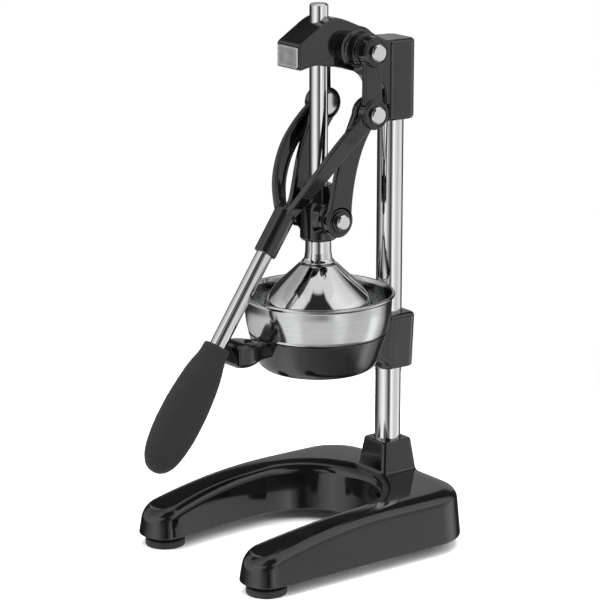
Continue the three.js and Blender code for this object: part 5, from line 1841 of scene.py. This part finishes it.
# %% Light tent
GROUND = [(-180, 0.3), (-60, 0.9), (-15, 1.3), (20, 0.7), (53, 0.5), (90, 0.35), (135, 0.2), (180, 0.3)]
BOWL_BAND = [(-180, 0.5), (-170, 0.06), (-118, 0.06), (-100, 0.6), (-70, 0.8), (-40, 0.9), (-8, 1.15),
             (18, 1.25), (30, 0.92), (74, 0.92), (90, 1.15), (110, 0.85), (140, 0.9), (149, 1.5),
             (158, 1.5), (168, 0.9), (180, 0.5)]
SKIRT = [(-180, 0.36), (-172, 0.04), (-85, 0.02), (-61, 0.06), (-46, 0.2), (-33, 0.5), (-21, 0.75),
         (-8, 1.0), (10, 1.2), (24, 0.95), (38, 0.5), (48, 0.25), (57, 0.05), (64, 0.08), (72, 0.6),
         (82, 1.35), (93, 1.05), (107, 0.82), (121, 0.72), (135, 0.82), (150, 1.0), (162, 1.0), (180, 0.36)]
LOW_WALL = [(-180, 0.4), (-172, 0.04), (-158, 0.03), (-146, 0.36), (-118, 0.36), (-110, 0.04), (-90, 0.04),
            (-80, 0.4), (-50, 0.8), (-20, 1.2), (14, 1.1), (26, 0.6), (34, 0.04), (72, 0.04), (80, 0.6),
            (92, 0.9), (112, 0.6), (140, 0.6), (160, 0.8), (172, 0.6), (180, 0.4)]
HIGH_WALL = [(-180, 0.4), (-174, 0.04), (-94, 0.03), (-84, 0.45), (-45, 0.7), (-20, 1.2), (20, 1.2),
             (36, 0.9), (42, 0.05), (64, 0.05), (70, 0.8), (90, 1.3), (127, 1.2), (160, 1.0), (172, 0.7),
             (180, 0.4)]
ROOF = [(-180, 0.4), (-174, 0.04), (-96, 0.03), (-86, 0.35), (-62, 0.45), (-40, 0.6), (-20, 0.9), (-5, 1.0),
        (10, 0.9), (20, 0.03), (86, 0.03), (96, 1.0), (120, 1.1), (165, 0.9), (180, 0.4)]
TENT_TOP = [(-180, 0.9), (-100, 0.3), (-60, 0.6), (12, 0.9), (24, 0.03), (82, 0.03), (94, 0.9), (180, 0.9)]
BELTS = [(BOWL_BAND, -46, -38), (SKIRT, -20, -17), (LOW_WALL, -4, 4), (HIGH_WALL, 19, 24), (ROOF, 32, 38),
         (TENT_TOP, 60, 64)]
ZENITH, ZENITH_START, ZENITH_END = 0.9, 70, 75
PEAK = 1.6


def tent():
    """The tent's light by direction. What the camera sees behind the table is plain white."""
    world = bpy.data.worlds.new("light_tent")
    bpy.context.scene.world = world
    world.use_nodes = True
    tree = world.node_tree
    way = add(tree, "ShaderNodeSeparateXYZ", None, {0: add(tree, "ShaderNodeTexCoord").outputs["Generated"]})
    front = math_node(tree, "MULTIPLY", way.outputs[1], -1.0)
    azimuth = math_node(tree, "ARCTAN2", way.outputs[0], front)
    turn = math_node(tree, "MULTIPLY_ADD", azimuth, 0.5 / math.pi, 0.5)

    def band(lights):
        ramp = add(tree, "ShaderNodeValToRGB", None, {"Fac": turn})
        ramp.color_ramp.interpolation = "EASE"
        stops = ramp.color_ramp.elements
        while len(stops) < len(lights):
            stops.new(0.5)
        for stop, (degrees, light) in zip(stops, lights):
            stop.position = (degrees + 180) / 360
            stop.color = (light / PEAK,) * 3 + (1,)
        return math_node(tree, "MULTIPLY", ramp.outputs["Color"], PEAK)

    def over(below, above, start, end):
        """Passes from one light to another between two elevations, in degrees."""
        low, high = math.sin(math.radians(start)), math.sin(math.radians(end))
        values = {"Value": way.outputs[2], "From Min": low, "From Max": high}
        rise = add(tree, "ShaderNodeMapRange", {"interpolation_type": "SMOOTHSTEP"}, values).outputs[0]
        return add(tree, "ShaderNodeMix", {"data_type": "FLOAT"}, {0: rise, 2: below, 3: above}).outputs[0]

    seen = band(GROUND)
    for lights, start, end in BELTS:
        seen = over(seen, band(lights), start, end)
    seen = over(seen, ZENITH, ZENITH_START, ZENITH_END)
    rays = add(tree, "ShaderNodeLightPath").outputs["Is Camera Ray"]
    shown = add(tree, "ShaderNodeMix", {"data_type": "FLOAT"}, {0: rays, 2: seen, 3: 1.0})
    tree.nodes["Background"].inputs["Color"].default_value = (1, 1, 1, 1)
    tree.links.new(shown.outputs[0], tree.nodes["Background"].inputs["Strength"])
    print(f"{world.name}: {len(BELTS) + 1} belts, {len(tree.nodes)} nodes")


tent()

# %% [markdown]
# ## Lamps
# The tent lights all sides alike, and a press in it would seem to float. Three soft lamps, one high and
# one on each side, give the shadow on the table a direction. They show in no mirror, because the tent's
# belts already hold every reflection.

# %% Lamps
CENTRE = Vector((0, 0, 0.2))


def lamp(name, azimuth, elevation, distance, width, height, power):
    """A soft lamp behind the tent's cloth: it lights the press and the table, but shows in no mirror."""
    data = bpy.data.lights.new(name, "AREA")
    data.shape = "RECTANGLE"
    data.size, data.size_y, data.energy = width, height, power
    obj = linked(name, data)
    a, e = math.radians(azimuth), math.radians(elevation)
    away = Vector((math.sin(a) * math.cos(e), -math.cos(a) * math.cos(e), math.sin(e)))
    obj.location = CENTRE + away * distance
    obj.rotation_mode = "QUATERNION"
    obj.rotation_quaternion = away.to_track_quat("Z", "Y")
    obj.visible_glossy = False
    print(f"{name}: {power} watts at {distance} m")


lamp("overhead_lamp", 50, 75, 1.6, 1.8, 1.8, 64)
lamp("left_lamp", -30, 30, 1.7, 1.0, 1.4, 20)
lamp("right_lamp", 110, 25, 1.7, 1.0, 1.4, 20)

# %% [markdown]
# ## Camera
# The photograph was taken with a long lens from the press's front right, a little above the bowl. The
# place and aim are in the frame's metres. A plain view transform keeps the white ground white.

# %% Camera
CAMERA_PLACE = Vector((1.592, -1.1866, 0.7215))
CAMERA_AIM = Vector((-0.0412, 0.0467, 0.1815))
LENS = 164.72
SENSOR = 36.0
ROLL = math.radians(0.06)

camera_data = bpy.data.cameras.new("photo_camera")
camera_data.lens = LENS
camera_data.sensor_width = SENSOR
camera = linked("photo_camera", camera_data)
camera.location = CAMERA_PLACE
look = (CAMERA_AIM - CAMERA_PLACE).to_track_quat("-Z", "Y").to_matrix()
camera.rotation_euler = (look @ Matrix.Rotation(ROLL, 3, "Z")).to_euler()
bpy.context.scene.camera = camera
bpy.context.scene.view_settings.view_transform = "Standard"
print("camera at", tuple(CAMERA_PLACE))
